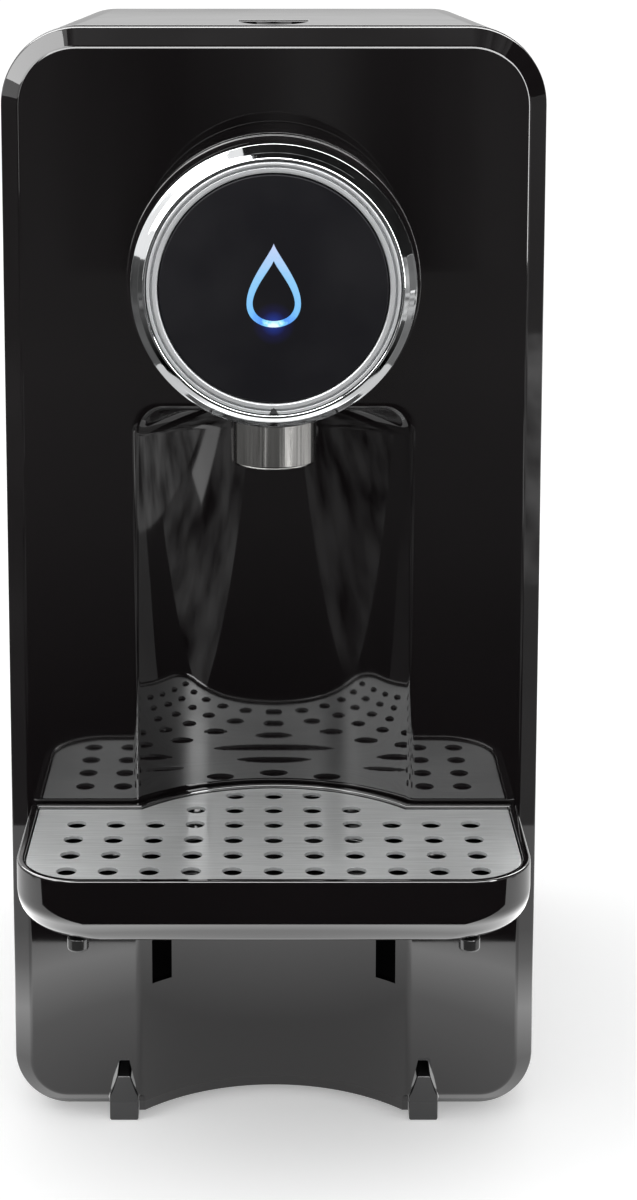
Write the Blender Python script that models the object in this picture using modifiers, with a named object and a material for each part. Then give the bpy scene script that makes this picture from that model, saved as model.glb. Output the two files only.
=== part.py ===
"""Instant hot water dispenser with a rear tank, a round dial over the cup bay and a drip tray.

Metres, +Z up. The front faces -Y. The origin is on the table, under the middle of
the box that the whole object fills.
"""

import math

import bmesh
import bpy
from mathutils import Matrix, Vector

# Counts
CORNER_STEPS = 5
ROUND_SIDES = 32
SMALL_SIDES = 12
SCREW_SIDES = 8
HOSE_STEPS = 3
EDGE_STEPS = 3

# Whole body
BODY_WIDTH = 0.160
BODY_TOP = 0.335
BODY_FLOOR = 0.003
BODY_DEPTH = 0.180
TRAY_REACH = 0.060
TOP_RADIUS = 0.023
BOTTOM_RADIUS = 0.017
WALL = 0.0025
FIT = 0.0003
OVERRUN = 0.005
DOUBLES_SHARE = 0.001
HALF_WIDTH = BODY_WIDTH / 2
PANEL_Y = (TRAY_REACH - BODY_DEPTH) / 2
BACK_Y = PANEL_Y + BODY_DEPTH

# Front fascia
PANEL_WALL = 0.003
FASCIA_DEPTH = 0.011
RIM_CHAMFER = 0.0055
RIM_ROUND = 0.0008
SEAM = 0.0006

# Cup recess in the fascia
RECESS_HALF = 0.041
RECESS_DEPTH = 0.0175
RECESS_TOP = 0.222
RECESS_LIP = 0.003
RECESS_CORNER = 0.005
RECESS_RADIUS = (RECESS_HALF**2 + RECESS_DEPTH**2) / (2 * RECESS_DEPTH)
RECESS_CENTRE_Y = PANEL_Y + RECESS_DEPTH - RECESS_RADIUS
RECESS_STEPS = 8
LIP_STEPS = 4

# Front feet and their notches
FOOT_SPREAD = 0.046
FOOT_HALF = 0.0044
FOOT_TOP_HALF = 0.002
FOOT_STRAIGHT = 0.0075
FOOT_TALL = 0.0145
FOOT_SETBACK = 0.0005
NOTCH_TALL = 0.0205
NOTCH_TOP_HALF = 0.0018

# Tank deck and the seam between the column and the tank
COLUMN_DEPTH = 0.055
DECK_TOP = 0.105
COLUMN_BACK_Y = PANEL_Y + COLUMN_DEPTH
SHELL_FRONT_Y = PANEL_Y + FASCIA_DEPTH + SEAM

# Thumb scoop in the top of the column
SCOOP_WIDTH = 0.021
SCOOP_LENGTH = 0.041
SCOOP_DEPTH = 0.0065
SCOOP_WALL = 0.002
SCOOP_FLOOR_SHARE = 0.55
SCOOP_END_SHARE = 0.25
SCOOP_RAMP_SHARE = 0.6

# Base plate, rear cover and their screws
PLATE_MARGIN = 0.020
PLATE_HALF = HALF_WIDTH - PLATE_MARGIN
PLATE_REACH = 0.031
PLATE_FRONT_Y = COLUMN_BACK_Y - PLATE_REACH
PLATE_REAR_GAP = 0.008
COVER_INSET = 0.003
SCREW_RADIUS = 0.0015
SCREW_HEAD_RADIUS = 0.003
SCREW_HEAD_TALL = 0.0013
SCREW_LONG = 0.0085
BOSS_RADIUS = 0.004
BOSS_LONG = 0.010
VENT_WIDTH = 0.003
VENT_LONG = 0.030
VENT_PITCH = 0.008
VENT_COUNT = 7

# Rear feet
PAD_RADIUS = 0.007
PAD_INSET = 0.012
PAD_SPREAD = PLATE_HALF - PAD_INSET
PAD_SETBACK = 0.022

# Dial: places along its axis are measured forward from the panel
DIAL_Z = 0.2674
DRUM_RADIUS = 0.0402
DRUM_LONG = 0.045
DRUM_EDGE = 0.0015
DIAL_OPENING = 0.014
DIAL_RING_RADIUS = 0.0385
DIAL_RING_FACE_RADIUS = 0.0346
DIAL_RING_LONG = 0.0135
DIAL_WEB = 0.002
INDEX_RADIUS = 0.0341
INDEX_INNER_RADIUS = 0.0311
INDEX_NOTCH = 0.0012
HUB_RADIUS = 0.0290
HUB_WALL = 0.002
HUB_FLANGE_RADIUS = 0.0325
HUB_FLANGE = 0.0013
HUB_LIP = 0.0012
BUTTON_RADIUS = 0.0308
BUTTON_THICK = 0.0025
BUTTON_TRAVEL = 0.0012
BUTTON_STEM_RADIUS = 0.004
BOARD_RADIUS = 0.024
BOARD_THICK = 0.0016
SWITCH_SIDE = 0.006
SWITCH_TALL = 0.0035
SPRING_RADIUS = 0.0085
SPRING_WIRE = 0.0006
SPRING_TURNS = 3
DROP_HALF = 0.00725
DROP_RISE = 0.0121
DROP_FALL = 0.0103
DROP_LINE = 0.0021
DROP_TIP_LINE = 0.0049
DROP_INLAY = 0.0012
DROP_POWER = 1.5
DROP_STEPS = 24

# Spout screws
POST_RADIUS = 0.0035
POST_RING_RADIUS = 0.0345
POST_LONG = 0.014
POST_ANGLES = (90, 210, 330)

# Nozzle
NOZZLE_REACH = 0.0285
NOZZLE_RADIUS = 0.011
NOZZLE_LOW = 0.2138
NOZZLE_WALL = 0.0012
NOZZLE_FLANGE = 0.0022
NOZZLE_FLANGE_TALL = 0.0018
BARB_RADIUS = 0.003
BARB_LONG = 0.009
OUTLET_RADIUS = 0.003
OUTLET_LONG = 0.010

# Drip tray
TRAY_MARGIN = 0.0072
TRAY_HALF = HALF_WIDTH - TRAY_MARGIN
TRAY_TOP = 0.1025
TRAY_TALL = 0.018
TRAY_WALL = 0.0022
TRAY_CORNER = 0.0135
TRAY_EDGE = 0.005
TRAY_INNER_EDGE = 0.003
TRAY_BACK_GAP = 0.001
TRAY_BACK_CORNER = 0.002
LEDGE = 0.0015
DRIP_PLATE_THICK = 0.001
DRIP_PLATE_SINK = 0.001
DRIP_HOLE_RADIUS = 0.00285
DRIP_HOLE_PITCH = 0.0116
DRIP_HOLES_ACROSS = 11
DRIP_ROWS = 4
DRIP_FRONT_ROW = 0.0097
DRIP_HOLE_SIDES = 8
TRAY_FOOT_RADIUS = 0.003
TRAY_FOOT_LONG = 0.0077
TRAY_FOOT_INSET = 0.0178
TRAY_FOOT_SPREAD = TRAY_HALF - TRAY_FOOT_INSET
TRAY_FOOT_SETBACK = 0.010
TRAY_FRONT_Y = PANEL_Y - TRAY_REACH
TRAY_LOW = TRAY_TOP - TRAY_TALL

# Tray carriage behind the recess wall
TONGUE_SPREAD = 0.0343
TONGUE_HALF = 0.0025
TONGUE_LOW = 0.087
TONGUE_TALL = 0.009
TONGUE_REACH = 0.006
SLOT_HALF = 0.0029
SLOT_LOW = 0.043
POCKET_WALL = 0.0015
YOKE_THICK = 0.007
YOKE_TALL = 0.019
YOKE_DROP = 0.005
YOKE_HALF = 0.038
ROD_RADIUS = 0.002
ROD_SPREAD = 0.020
ROD_PLAY = 0.00015
BRACKET_TALL = 0.005
BRACKET_HALF = 0.027

# Water tank
LID_SKIRT = 0.0015
TANK_WALL = 0.0025
TANK_FLOOR_RISE = 0.0095
PAD_TALL = 0.006
PAD_MARGIN = 0.005
GRIP_HALF = 0.035
GRIP_TALL = 0.018
GRIP_DEEP = 0.011
GRIP_BELOW_TOP = 0.045
GRIP_WALL = 0.002
REAR_EDGE = 0.0015

# Lid hinge
KNUCKLE_RADIUS = 0.0035
KNUCKLE_WIDE = 0.005
KNUCKLE_MARGIN = 0.020
KNUCKLE_PLACE = HALF_WIDTH - KNUCKLE_MARGIN
HINGE_GAP = 0.0005
EYE_TURN = 55
HINGE_PLAY = 0.00015
PIN_RADIUS = 0.0018
PIN_LONG = 0.014
SKIRT_DROP = 0.007
EYE_NECK = 0.004
EYE_DROP = 0.016

# Tank valve and coupling
PORT_SETBACK = 0.062
PORT_Y = BACK_Y - PORT_SETBACK
COUPLING_RADIUS = 0.011
COUPLING_STUB_RADIUS = 0.003
COUPLING_STUB_LONG = 0.012
VALVE_RADIUS = 0.009
VALVE_NECK_RADIUS = 0.0075
VALVE_NECK_LONG = 0.005
VALVE_FLANGE = 0.0015
VALVE_BORE_RADIUS = 0.0045
POPPET_HEAD_RADIUS = 0.0062
POPPET_HEAD_TALL = 0.0016
POPPET_STEM_RADIUS = 0.0022
POPPET_LIFT = 0.0042
CAGE_TALL = 0.016
CAGE_WALL = 0.0012
CAGE_POSTS = 3
VALVE_SPRING_RADIUS = 0.0042
VALVE_SPRING_TURNS = 4
VALVE_SPRING_WIRE = 0.00035
SEAL_WIRE = 0.0009
COUPLING_PIN_RADIUS = 0.0012

# Works in the base
PUMP_MARGIN = 0.044
PUMP_X = HALF_WIDTH - PUMP_MARGIN
PUMP_RADIUS = 0.014
PUMP_HEAD_RADIUS = 0.016
PUMP_REAR_ROOM = 0.046
PUMP_MOTOR_LONG = 0.040
PUMP_HEAD_LONG = 0.016
PUMP_FRONT_Y = BACK_Y - PUMP_REAR_ROOM - PUMP_HEAD_LONG - PUMP_MOTOR_LONG
PUMP_RISE = 0.003
HEATER_MARGIN = 0.046
HEATER_X = HEATER_MARGIN - HALF_WIDTH
HEATER_RADIUS = 0.017
HEATER_REAR_ROOM = 0.032
HEATER_LONG = 0.082
HEATER_FRONT_Y = BACK_Y - HEATER_REAR_ROOM - HEATER_LONG
HEATER_RISE = 0.004
SADDLE_THICK = 0.006
STUB_RADIUS = 0.003
STUB_LONG = 0.006
HOSE_RADIUS = 0.0045
HOSE_LAP = 0.0003
CUTOUT_RADIUS = 0.007
CUTOUT_TALL = 0.006
FUSE_RADIUS = 0.0022
FUSE_LONG = 0.014

# Power board on the back of the column
BOARD_MARGIN = 0.010
BOARD_HALF = 0.026
BOARD_X = HALF_WIDTH - BOARD_MARGIN - BOARD_HALF
BOARD_LOW = 0.150
BOARD_TALL = 0.090
BOARD_STANDOFF = 0.004
RELAY_WIDE = 0.016
RELAY_TALL = 0.020
RELAY_DEEP = 0.013
SINK_WIDE = 0.022
SINK_TALL = 0.030
SINK_DEEP = 0.011
SINK_FINS = 5

# Mains gland
GLAND_MARGIN = 0.028
GLAND_X = GLAND_MARGIN - HALF_WIDTH
GLAND_Z = 0.026
GLAND_RADIUS = 0.008
GLAND_NECK_RADIUS = 0.006
GLAND_BORE_RADIUS = 0.0035
GLAND_FLANGE = 0.0022

# Angles between faces that count as flat and as sharp
FLAT_ANGLE = math.radians(0.1)
SHARP_ANGLE = math.radians(30)

# Axes as rotations that turn a shape's own +Z onto the named direction
TURNS = {
    "X": (math.pi / 2, 0, math.pi / 2),
    "Y": (math.pi / 2, 0, 0),
    "Z": (0, 0, 0),
}

GLOSS_BLACK = ("gloss_black", (0.010, 0.010, 0.012), 0.12, 0.0)
SATIN_BLACK = ("satin_black", (0.020, 0.021, 0.026), 0.45, 0.0)
SMOKED = ("smoked_clear", (0.050, 0.055, 0.060), 0.10, 0.0)
CHROME = ("chrome", (0.80, 0.81, 0.82), 0.06, 1.0)
SATIN_STEEL = ("satin_steel", (0.62, 0.63, 0.64), 0.30, 1.0)
RUBBER = ("rubber", (0.03, 0.03, 0.03), 0.75, 0.0)
SILICONE = ("silicone", (0.75, 0.76, 0.78), 0.55, 0.0)
LAMP = ("lamp", (0.70, 0.85, 1.0), 0.30, 0.0)
BOARD_GREEN = ("board_green", (0.03, 0.16, 0.07), 0.50, 0.0)
ALUMINIUM = ("aluminium", (0.70, 0.71, 0.72), 0.40, 1.0)
ENGINE_GREY = ("engine_grey", (0.25, 0.26, 0.27), 0.50, 0.0)
ZINC = ("zinc", (0.60, 0.60, 0.62), 0.35, 1.0)


# Scene and helper shapes


def clear_scene():
    """Take away everything that the file opens with."""
    for thing in list(bpy.data.objects):
        bpy.data.objects.remove(thing)


def new_collection(name):
    """A collection under the scene's own."""
    made = bpy.data.collections.new(name)
    bpy.context.scene.collection.children.link(made)
    return made


clear_scene()
PARTS = new_collection("hot_water_dispenser")
CUTTERS = new_collection("cutters")


def finish_of(recipe):
    """The material for a (name, colour, roughness, metallic) recipe, made once."""
    name, colour, roughness, metallic = recipe
    found = bpy.data.materials.get(name)
    if found:
        return found
    made = bpy.data.materials.new(name)
    made.use_nodes = True
    shader = made.node_tree.nodes["Principled BSDF"]
    shader.inputs["Base Color"].default_value = (*colour, 1.0)
    shader.inputs["Roughness"].default_value = roughness
    shader.inputs["Metallic"].default_value = metallic
    made.diffuse_color = (*colour, 1.0)
    return made


def place(thing, recipe=None):
    """Put an object among the parts with its finish or, with none, among the cutters."""
    for holder in list(thing.users_collection):
        holder.objects.unlink(thing)
    if recipe is None:
        CUTTERS.objects.link(thing)
        thing.hide_render = True
        thing.display_type = "WIRE"
        return thing
    PARTS.objects.link(thing)
    thing.data.materials.clear()
    thing.data.materials.append(finish_of(recipe))
    return thing


def mesh_object(name, shape, recipe=None):
    """An object from a bmesh, which it frees, with its faces turned outward."""
    bmesh.ops.recalc_face_normals(shape, faces=shape.faces)
    data = bpy.data.meshes.new(name)
    shape.to_mesh(data)
    shape.free()
    thing = bpy.data.objects.new(name, data)
    return place(thing, recipe)


def meshed(curve_thing, recipe=None):
    """The closed mesh of a curve object, which takes the curve's place."""
    bpy.context.scene.collection.objects.link(curve_thing)
    bpy.context.view_layer.update()
    graph = bpy.context.evaluated_depsgraph_get()
    data = bpy.data.meshes.new_from_object(curve_thing.evaluated_get(graph))
    shape = bmesh.new()
    shape.from_mesh(data)
    bmesh.ops.remove_doubles(shape, verts=shape.verts, dist=FIT * DOUBLES_SHARE)
    made = mesh_object(curve_thing.name, shape, recipe)
    made.matrix_world = curve_thing.matrix_world.copy()
    name = curve_thing.name
    bpy.data.objects.remove(curve_thing)
    bpy.data.meshes.remove(data)
    made.name = name
    return made


def arc(centre, radius, start, end, steps=CORNER_STEPS):
    """Points on an arc between two angles in degrees, both ends included."""
    points = []
    for step in range(steps + 1):
        angle = math.radians(start + (end - start) * step / steps)
        points.append(
            (centre[0] + radius * math.cos(angle), centre[1] + radius * math.sin(angle))
        )
    return points


def circle(centre, radius, sides=ROUND_SIDES):
    """A closed ring of points."""
    return arc(centre, radius, 0, 360, sides)[:-1]


def corner(centre, radius, start):
    """A quarter turn, or a single point where the corner is sharp."""
    if radius <= 0:
        return [centre]
    return arc(centre, radius, start, start + 90)


def rounded(low, high, low_radius=0.0, high_radius=0.0):
    """A rectangle between two corners, with round lower and upper corners."""
    (left, bottom), (right, top) = low, high
    return [
        *corner((right - low_radius, bottom + low_radius), low_radius, -90),
        *corner((right - high_radius, top - high_radius), high_radius, 0),
        *corner((left + high_radius, top - high_radius), high_radius, 90),
        *corner((left + low_radius, bottom + low_radius), low_radius, 180),
    ]


def prism(name, loops, low, high, axis="Z", recipe=None):
    """A flat outline, with any holes in it, extruded from low to high along an axis.

    Loops are pairs across the axis: (x, y) for Z, (x, z) for Y and (y, z) for X.
    """
    data = bpy.data.curves.new(name, "CURVE")
    data.dimensions = "2D"
    data.fill_mode = "BOTH"
    data.extrude = (high - low) / 2
    for loop in loops:
        spline = data.splines.new("POLY")
        spline.points.add(len(loop) - 1)
        for point, (across, up) in zip(spline.points, loop):
            point.co = (across, up, 0, 1)
        spline.use_cyclic_u = True
    thing = bpy.data.objects.new(name, data)
    thing.rotation_euler = TURNS[axis]
    thing.location["XYZ".index(axis)] = (low + high) / 2
    return meshed(thing, recipe)


def box(name, low, high, recipe=None):
    """A box between two corners."""
    low, high = Vector(low), Vector(high)
    shape = bmesh.new()
    size = Matrix.Diagonal((*(high - low), 1))
    bmesh.ops.create_cube(shape, size=1.0, matrix=size)
    made = mesh_object(name, shape, recipe)
    made.location = (low + high) / 2
    return made


def cylinder(name, radius, low, high, centre, axis="Z", recipe=None, sides=ROUND_SIDES):
    """A cylinder from low to high along an axis, through a centre given across it."""
    shape = bmesh.new()
    bmesh.ops.create_cone(
        shape,
        cap_ends=True,
        segments=sides,
        radius1=radius,
        radius2=radius,
        depth=high - low,
    )
    made = mesh_object(name, shape, recipe)
    made.rotation_euler = TURNS[axis]
    middle = (low + high) / 2
    places = {
        "X": (middle, *centre),
        "Y": (centre[0], middle, centre[-1]),
        "Z": (*centre, middle),
    }
    made.location = places[axis]
    return made


def turned(name, profile, centre, axis="Z", recipe=None, sides=ROUND_SIDES):
    """A closed (radius, height) profile turned about an axis through a centre.

    On the axis Y, height runs forward, towards the front of the object.
    """
    data = bpy.data.meshes.new(name)
    count = len(profile)
    verts = [(radius, 0, height) for radius, height in profile]
    edges = [
        (step, (step + 1) % count)
        for step in range(count)
        if profile[step][0] > 0 or profile[(step + 1) % count][0] > 0
    ]
    data.from_pydata(verts, edges, [])
    thing = bpy.data.objects.new(name, data)
    place(thing, recipe)
    thing.rotation_euler = TURNS[axis]
    thing.location = centre
    screw = thing.modifiers.new("turn", "SCREW")
    screw.steps = sides
    screw.render_steps = sides
    screw.use_merge_vertices = True
    screw.merge_threshold = FIT / 10
    return thing


def loft(name, rings, recipe=None):
    """Rings of equal count joined into one body, with both ends closed."""
    shape = bmesh.new()
    rows = [[shape.verts.new(point) for point in ring] for ring in rings]
    count = len(rows[0])
    for near, far in zip(rows, rows[1:]):
        for step in range(count):
            after = (step + 1) % count
            shape.faces.new((near[step], near[after], far[after], far[step]))
    shape.faces.new(rows[0])
    shape.faces.new(rows[-1])
    return mesh_object(name, shape, recipe)


def hose(name, route, radius, recipe):
    """A round hose along a smooth curve through the route's points."""
    data = bpy.data.curves.new(name, "CURVE")
    data.dimensions = "3D"
    data.bevel_depth = radius
    data.bevel_resolution = 2
    data.use_fill_caps = True
    data.resolution_u = HOSE_STEPS
    spline = data.splines.new("BEZIER")
    spline.bezier_points.add(len(route) - 1)
    for point, place_on_route in zip(spline.bezier_points, route):
        point.co = place_on_route
        point.handle_left_type = "AUTO"
        point.handle_right_type = "AUTO"
    for end in (spline.bezier_points[0], spline.bezier_points[-1]):
        end.handle_left_type = "VECTOR"
        end.handle_right_type = "VECTOR"
    return meshed(bpy.data.objects.new(name, data), recipe)


def coil(name, radius, wire, low, high, turns, recipe):
    """A spring from low to high on its own +Z."""
    data = bpy.data.curves.new(name, "CURVE")
    data.dimensions = "3D"
    data.bevel_depth = wire
    data.bevel_resolution = 1
    data.use_fill_caps = True
    spline = data.splines.new("POLY")
    steps = turns * SCREW_SIDES
    spline.points.add(steps)
    for step, point in enumerate(spline.points):
        angle = 2 * math.pi * turns * step / steps
        height = low + (high - low) * step / steps
        point.co = (radius * math.cos(angle), radius * math.sin(angle), height, 1)
    return meshed(bpy.data.objects.new(name, data), recipe)


def combine(thing, other, operation):
    """Cut, join or keep what two shapes share; the other becomes a helper."""
    step = thing.modifiers.new(operation.lower(), "BOOLEAN")
    step.operation = operation
    step.solver = "EXACT"
    step.object = other
    return thing


def cut(thing, *others):
    """Cut each other shape out of a thing."""
    for other in others:
        combine(thing, other, "DIFFERENCE")
    return thing


def join(thing, *others):
    """Make each other shape one body with a thing."""
    for other in others:
        combine(thing, other, "UNION")
    return thing


def soften(thing, width, segments, chosen):
    """Bevel the base mesh's sharp edges whose two ends both pass a test on world points."""
    shape = bmesh.new()
    shape.from_mesh(thing.data)
    bmesh.ops.dissolve_limit(
        shape, angle_limit=FLAT_ANGLE, verts=shape.verts, edges=shape.edges
    )
    world = thing.matrix_basis
    edges = [
        edge
        for edge in shape.edges
        if edge.calc_face_angle() > SHARP_ANGLE
        and all(chosen(world @ v.co) for v in edge.verts)
    ]
    bmesh.ops.bevel(
        shape,
        geom=edges,
        offset=width,
        segments=segments,
        profile=0.5,
        affect="EDGES",
        clamp_overlap=False,
    )
    shape.to_mesh(thing.data)
    shape.free()
    return thing


def carry(name, place_of_joint, *things):
    """Hang moving pieces on an empty that stands on their joint's axis."""
    empty = bpy.data.objects.new(name, None)
    PARTS.objects.link(empty)
    empty.location = place_of_joint
    empty.empty_display_size = WALL
    bpy.context.view_layer.update()
    for thing in things:
        thing.parent = empty
        thing.matrix_parent_inverse = empty.matrix_world.inverted()
    return empty


def body_outline(inset=0.0, low=BODY_FLOOR, high=BODY_TOP):
    """The body's front outline, drawn in by an inset."""
    return rounded(
        (-HALF_WIDTH + inset, low + inset),
        (HALF_WIDTH - inset, high - inset),
        BOTTOM_RADIUS - inset,
        TOP_RADIUS - inset,
    )


def forward(distance):
    """The Y of a place this far in front of the panel."""
    return PANEL_Y - distance


# Front fascia


def recess_half_width(depth, grow):
    """Half the recess's width at a depth behind the panel, with a round lip at the mouth."""
    radius = RECESS_RADIUS + grow
    reach = RECESS_DEPTH + grow
    lip = RECESS_LIP
    lip_x = math.sqrt(reach * (2 * (radius + lip) - reach))
    lip_up = lip - reach + radius
    meets = lip - lip * lip_up / (radius + lip)
    if grow == 0 and depth < meets:
        inside = max(lip - max(depth, 0.0), 0.0)
        return lip_x - math.sqrt(lip**2 - inside**2)
    return math.sqrt(max(radius**2 - (radius - reach + depth) ** 2, 0.0))


def recess_form(name, grow, start, low):
    """The space of the cup recess, or its liner's outer form when it is grown by a wall."""
    reach = RECESS_DEPTH + grow
    radius = RECESS_RADIUS + grow
    depths = [start]
    if grow == 0:
        depths += [RECESS_LIP * (step / LIP_STEPS) ** 2 for step in range(LIP_STEPS + 1)]
    turn_from = math.acos((radius - reach + depths[-1]) / radius)
    for step in range(1, RECESS_STEPS):
        angle = turn_from * (1 - step / RECESS_STEPS)
        depths.append(radius * math.cos(angle) - (radius - reach))
    rings = []
    for depth in depths:
        half = recess_half_width(depth, grow)
        inside = max(RECESS_LIP - max(depth, 0.0), 0.0)
        lift = RECESS_LIP - math.sqrt(RECESS_LIP**2 - inside**2) if grow == 0 else grow
        corner_points = arc(
            (half - RECESS_CORNER - lift, RECESS_TOP - RECESS_CORNER),
            RECESS_CORNER + lift,
            0,
            90,
            LIP_STEPS,
        )
        outline = [
            (half, low),
            *corner_points,
            *[(-x, z) for x, z in reversed(corner_points)],
            (-half, low),
        ]
        rings.append([(x, PANEL_Y + depth, z) for x, z in outline])
    return loft(name, rings)


def rod_y(grow=0.0):
    """The Y of the carriage rods, midway through the yoke."""
    radius = RECESS_RADIUS + WALL + FIT + YOKE_THICK / 2 + grow
    return RECESS_CENTRE_Y + math.sqrt(radius**2 - ROD_SPREAD**2)


def yoke_outline(inner, outer, half):
    """A plan outline between two arcs about the recess's centre, as wide as twice half."""
    inner_turn = math.degrees(math.asin(half / inner))
    outer_turn = math.degrees(math.asin(half / outer))
    centre = (0.0, RECESS_CENTRE_Y)
    return [
        *arc(centre, outer, 90 - outer_turn, 90 + outer_turn, 2 * CORNER_STEPS),
        *arc(centre, inner, 90 + inner_turn, 90 - inner_turn, 2 * CORNER_STEPS),
    ]


def foot_outline(grow, tall, top_half):
    """The wedge outline of a front foot, standing on the table."""
    half = FOOT_HALF + grow
    return [
        (-half, -OVERRUN if grow else 0.0),
        (half, -OVERRUN if grow else 0.0),
        (half, FOOT_STRAIGHT),
        (top_half, tall),
        (-top_half, tall),
        (-half, FOOT_STRAIGHT),
    ]


def shifted(outline, across, up=0.0):
    """An outline moved across its own plane."""
    return [(x + across, z + up) for x, z in outline]


def make_fascia():
    """The one-piece front moulding."""
    fascia = prism(
        "front_fascia",
        [body_outline()],
        PANEL_Y,
        PANEL_Y + FASCIA_DEPTH,
        "Y",
        GLOSS_BLACK,
    )
    soften(fascia, RIM_CHAMFER, 1, lambda p: p.y < PANEL_Y + FIT)
    soften(fascia, RIM_ROUND, 2, lambda p: abs(p.y - PANEL_Y - RIM_CHAMFER) < FIT)
    hollow = prism(
        "fascia_hollow",
        [body_outline(WALL)],
        PANEL_Y + PANEL_WALL,
        PANEL_Y + FASCIA_DEPTH + OVERRUN,
        "Y",
    )
    soften(hollow, RIM_CHAMFER, 1, lambda p: p.y < PANEL_Y + PANEL_WALL + FIT)
    cut(fascia, hollow)
    join(fascia, recess_form("liner_form", WALL, PANEL_WALL / 2, BODY_FLOOR))
    yoke_inner = RECESS_RADIUS + WALL + FIT
    for end, low in (("low", bracket_low()), ("high", yoke_low() + YOKE_TALL + FIT)):
        bracket = prism(
            f"rod_bracket_{end}",
            [yoke_outline(yoke_inner - WALL, yoke_inner + YOKE_THICK, BRACKET_HALF)],
            low,
            low + BRACKET_TALL,
        )
        join(fascia, bracket)
    cut(fascia, recess_form("recess_space", 0.0, -OVERRUN, BODY_FLOOR - OVERRUN))
    for side, sign in (("left", -1), ("right", 1)):
        slot = box(
            f"slot_{side}",
            (sign * TONGUE_SPREAD - SLOT_HALF, PANEL_Y - OVERRUN, SLOT_LOW),
            (
                sign * TONGUE_SPREAD + SLOT_HALF,
                COLUMN_BACK_Y,
                TONGUE_LOW + TONGUE_TALL + FIT,
            ),
        )
        notch = prism(
            f"foot_notch_{side}",
            [shifted(foot_outline(FIT, NOTCH_TALL, NOTCH_TOP_HALF), sign * FOOT_SPREAD)],
            PANEL_Y - OVERRUN,
            PANEL_Y + FASCIA_DEPTH + OVERRUN,
            "Y",
        )
        rod_hole = cylinder(
            f"rod_hole_{side}",
            ROD_RADIUS + ROD_PLAY,
            bracket_low() - OVERRUN,
            TRAY_TOP + 2 * BRACKET_TALL,
            (sign * ROD_SPREAD, rod_y()),
            sides=SMALL_SIDES,
        )
        cut(fascia, slot, notch, rod_hole)
    opening = cylinder(
        "dial_opening",
        DIAL_OPENING,
        PANEL_Y - OVERRUN,
        PANEL_Y + PANEL_WALL + OVERRUN,
        (0, DIAL_Z),
        "Y",
    )
    cut(fascia, opening)
    for index, (x, z) in enumerate(post_places()):
        hole = cylinder(
            f"spout_screw_hole_{index + 1}",
            SCREW_RADIUS + FIT,
            PANEL_Y - OVERRUN,
            PANEL_Y + PANEL_WALL + OVERRUN,
            (x, z),
            "Y",
            sides=SMALL_SIDES,
        )
        cut(fascia, hole)
    return fascia


def make_front_feet():
    """Two wedge feet that stand in the notches, flush with the panel."""
    for side, sign in (("left", -1), ("right", 1)):
        foot = prism(
            f"front_foot_{side}",
            [shifted(foot_outline(0.0, FOOT_TALL, FOOT_TOP_HALF), sign * FOOT_SPREAD)],
            PANEL_Y + FOOT_SETBACK,
            SHELL_FRONT_Y - FIT,
            "Y",
            GLOSS_BLACK,
        )
        soften(foot, FOOT_TOP_HALF / 2, 2, lambda p: p.z < FIT)


# Body shell, deck, base and rear cover


def scoop_space(name, grow):
    """The pill-shaped thumb scoop, deepest where it meets the lid."""
    radius = SCOOP_WIDTH / 2 + grow
    rear = COLUMN_BACK_Y + (OVERRUN if grow == 0 else 0.0)
    front = COLUMN_BACK_Y - SCOOP_LENGTH - grow
    rings = []
    for step in range(CORNER_STEPS + 1):
        turn = step / CORNER_STEPS * math.pi / 2
        down = (SCOOP_DEPTH + grow) * math.sin(turn)
        top = BODY_TOP + (OVERRUN if step == 0 and grow == 0 else -grow / 2)
        drawn = math.sqrt(math.cos(turn)) if step < CORNER_STEPS else SCOOP_END_SHARE
        half = radius * (SCOOP_FLOOR_SHARE + (1 - SCOOP_FLOOR_SHARE) * drawn)
        start = front + (1 - drawn) * SCOOP_LENGTH * SCOOP_RAMP_SHARE
        height = top if step == 0 else BODY_TOP - down
        outline = [
            (half, rear),
            *arc((0, start + half), half, 0, -180, 2 * CORNER_STEPS),
            (-half, rear),
        ]
        rings.append([(x, y, height) for x, y in outline])
    return loft(name, rings)


def screw_places():
    """Where the base screws stand, across and along the body."""
    front = PLATE_FRONT_Y + BOSS_RADIUS + WALL
    rear = BACK_Y - PLATE_REAR_GAP - BOSS_RADIUS - WALL
    across = PLATE_HALF - BOSS_RADIUS
    return [(sx * across, y) for sx in (-1, 1) for y in (front, rear)]


def cover_face_y():
    """The outer face of the rear cover."""
    return BACK_Y - COVER_INSET


def cover_screw_places():
    """Where the rear cover's screws stand, across and up."""
    across = HALF_WIDTH - WALL - BOSS_RADIUS - FIT
    low = BODY_FLOOR + BOTTOM_RADIUS
    high = DECK_TOP - WALL - BOSS_RADIUS - WALL
    return [(sx * across, z) for sx in (-1, 1) for z in (low, high)]


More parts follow.
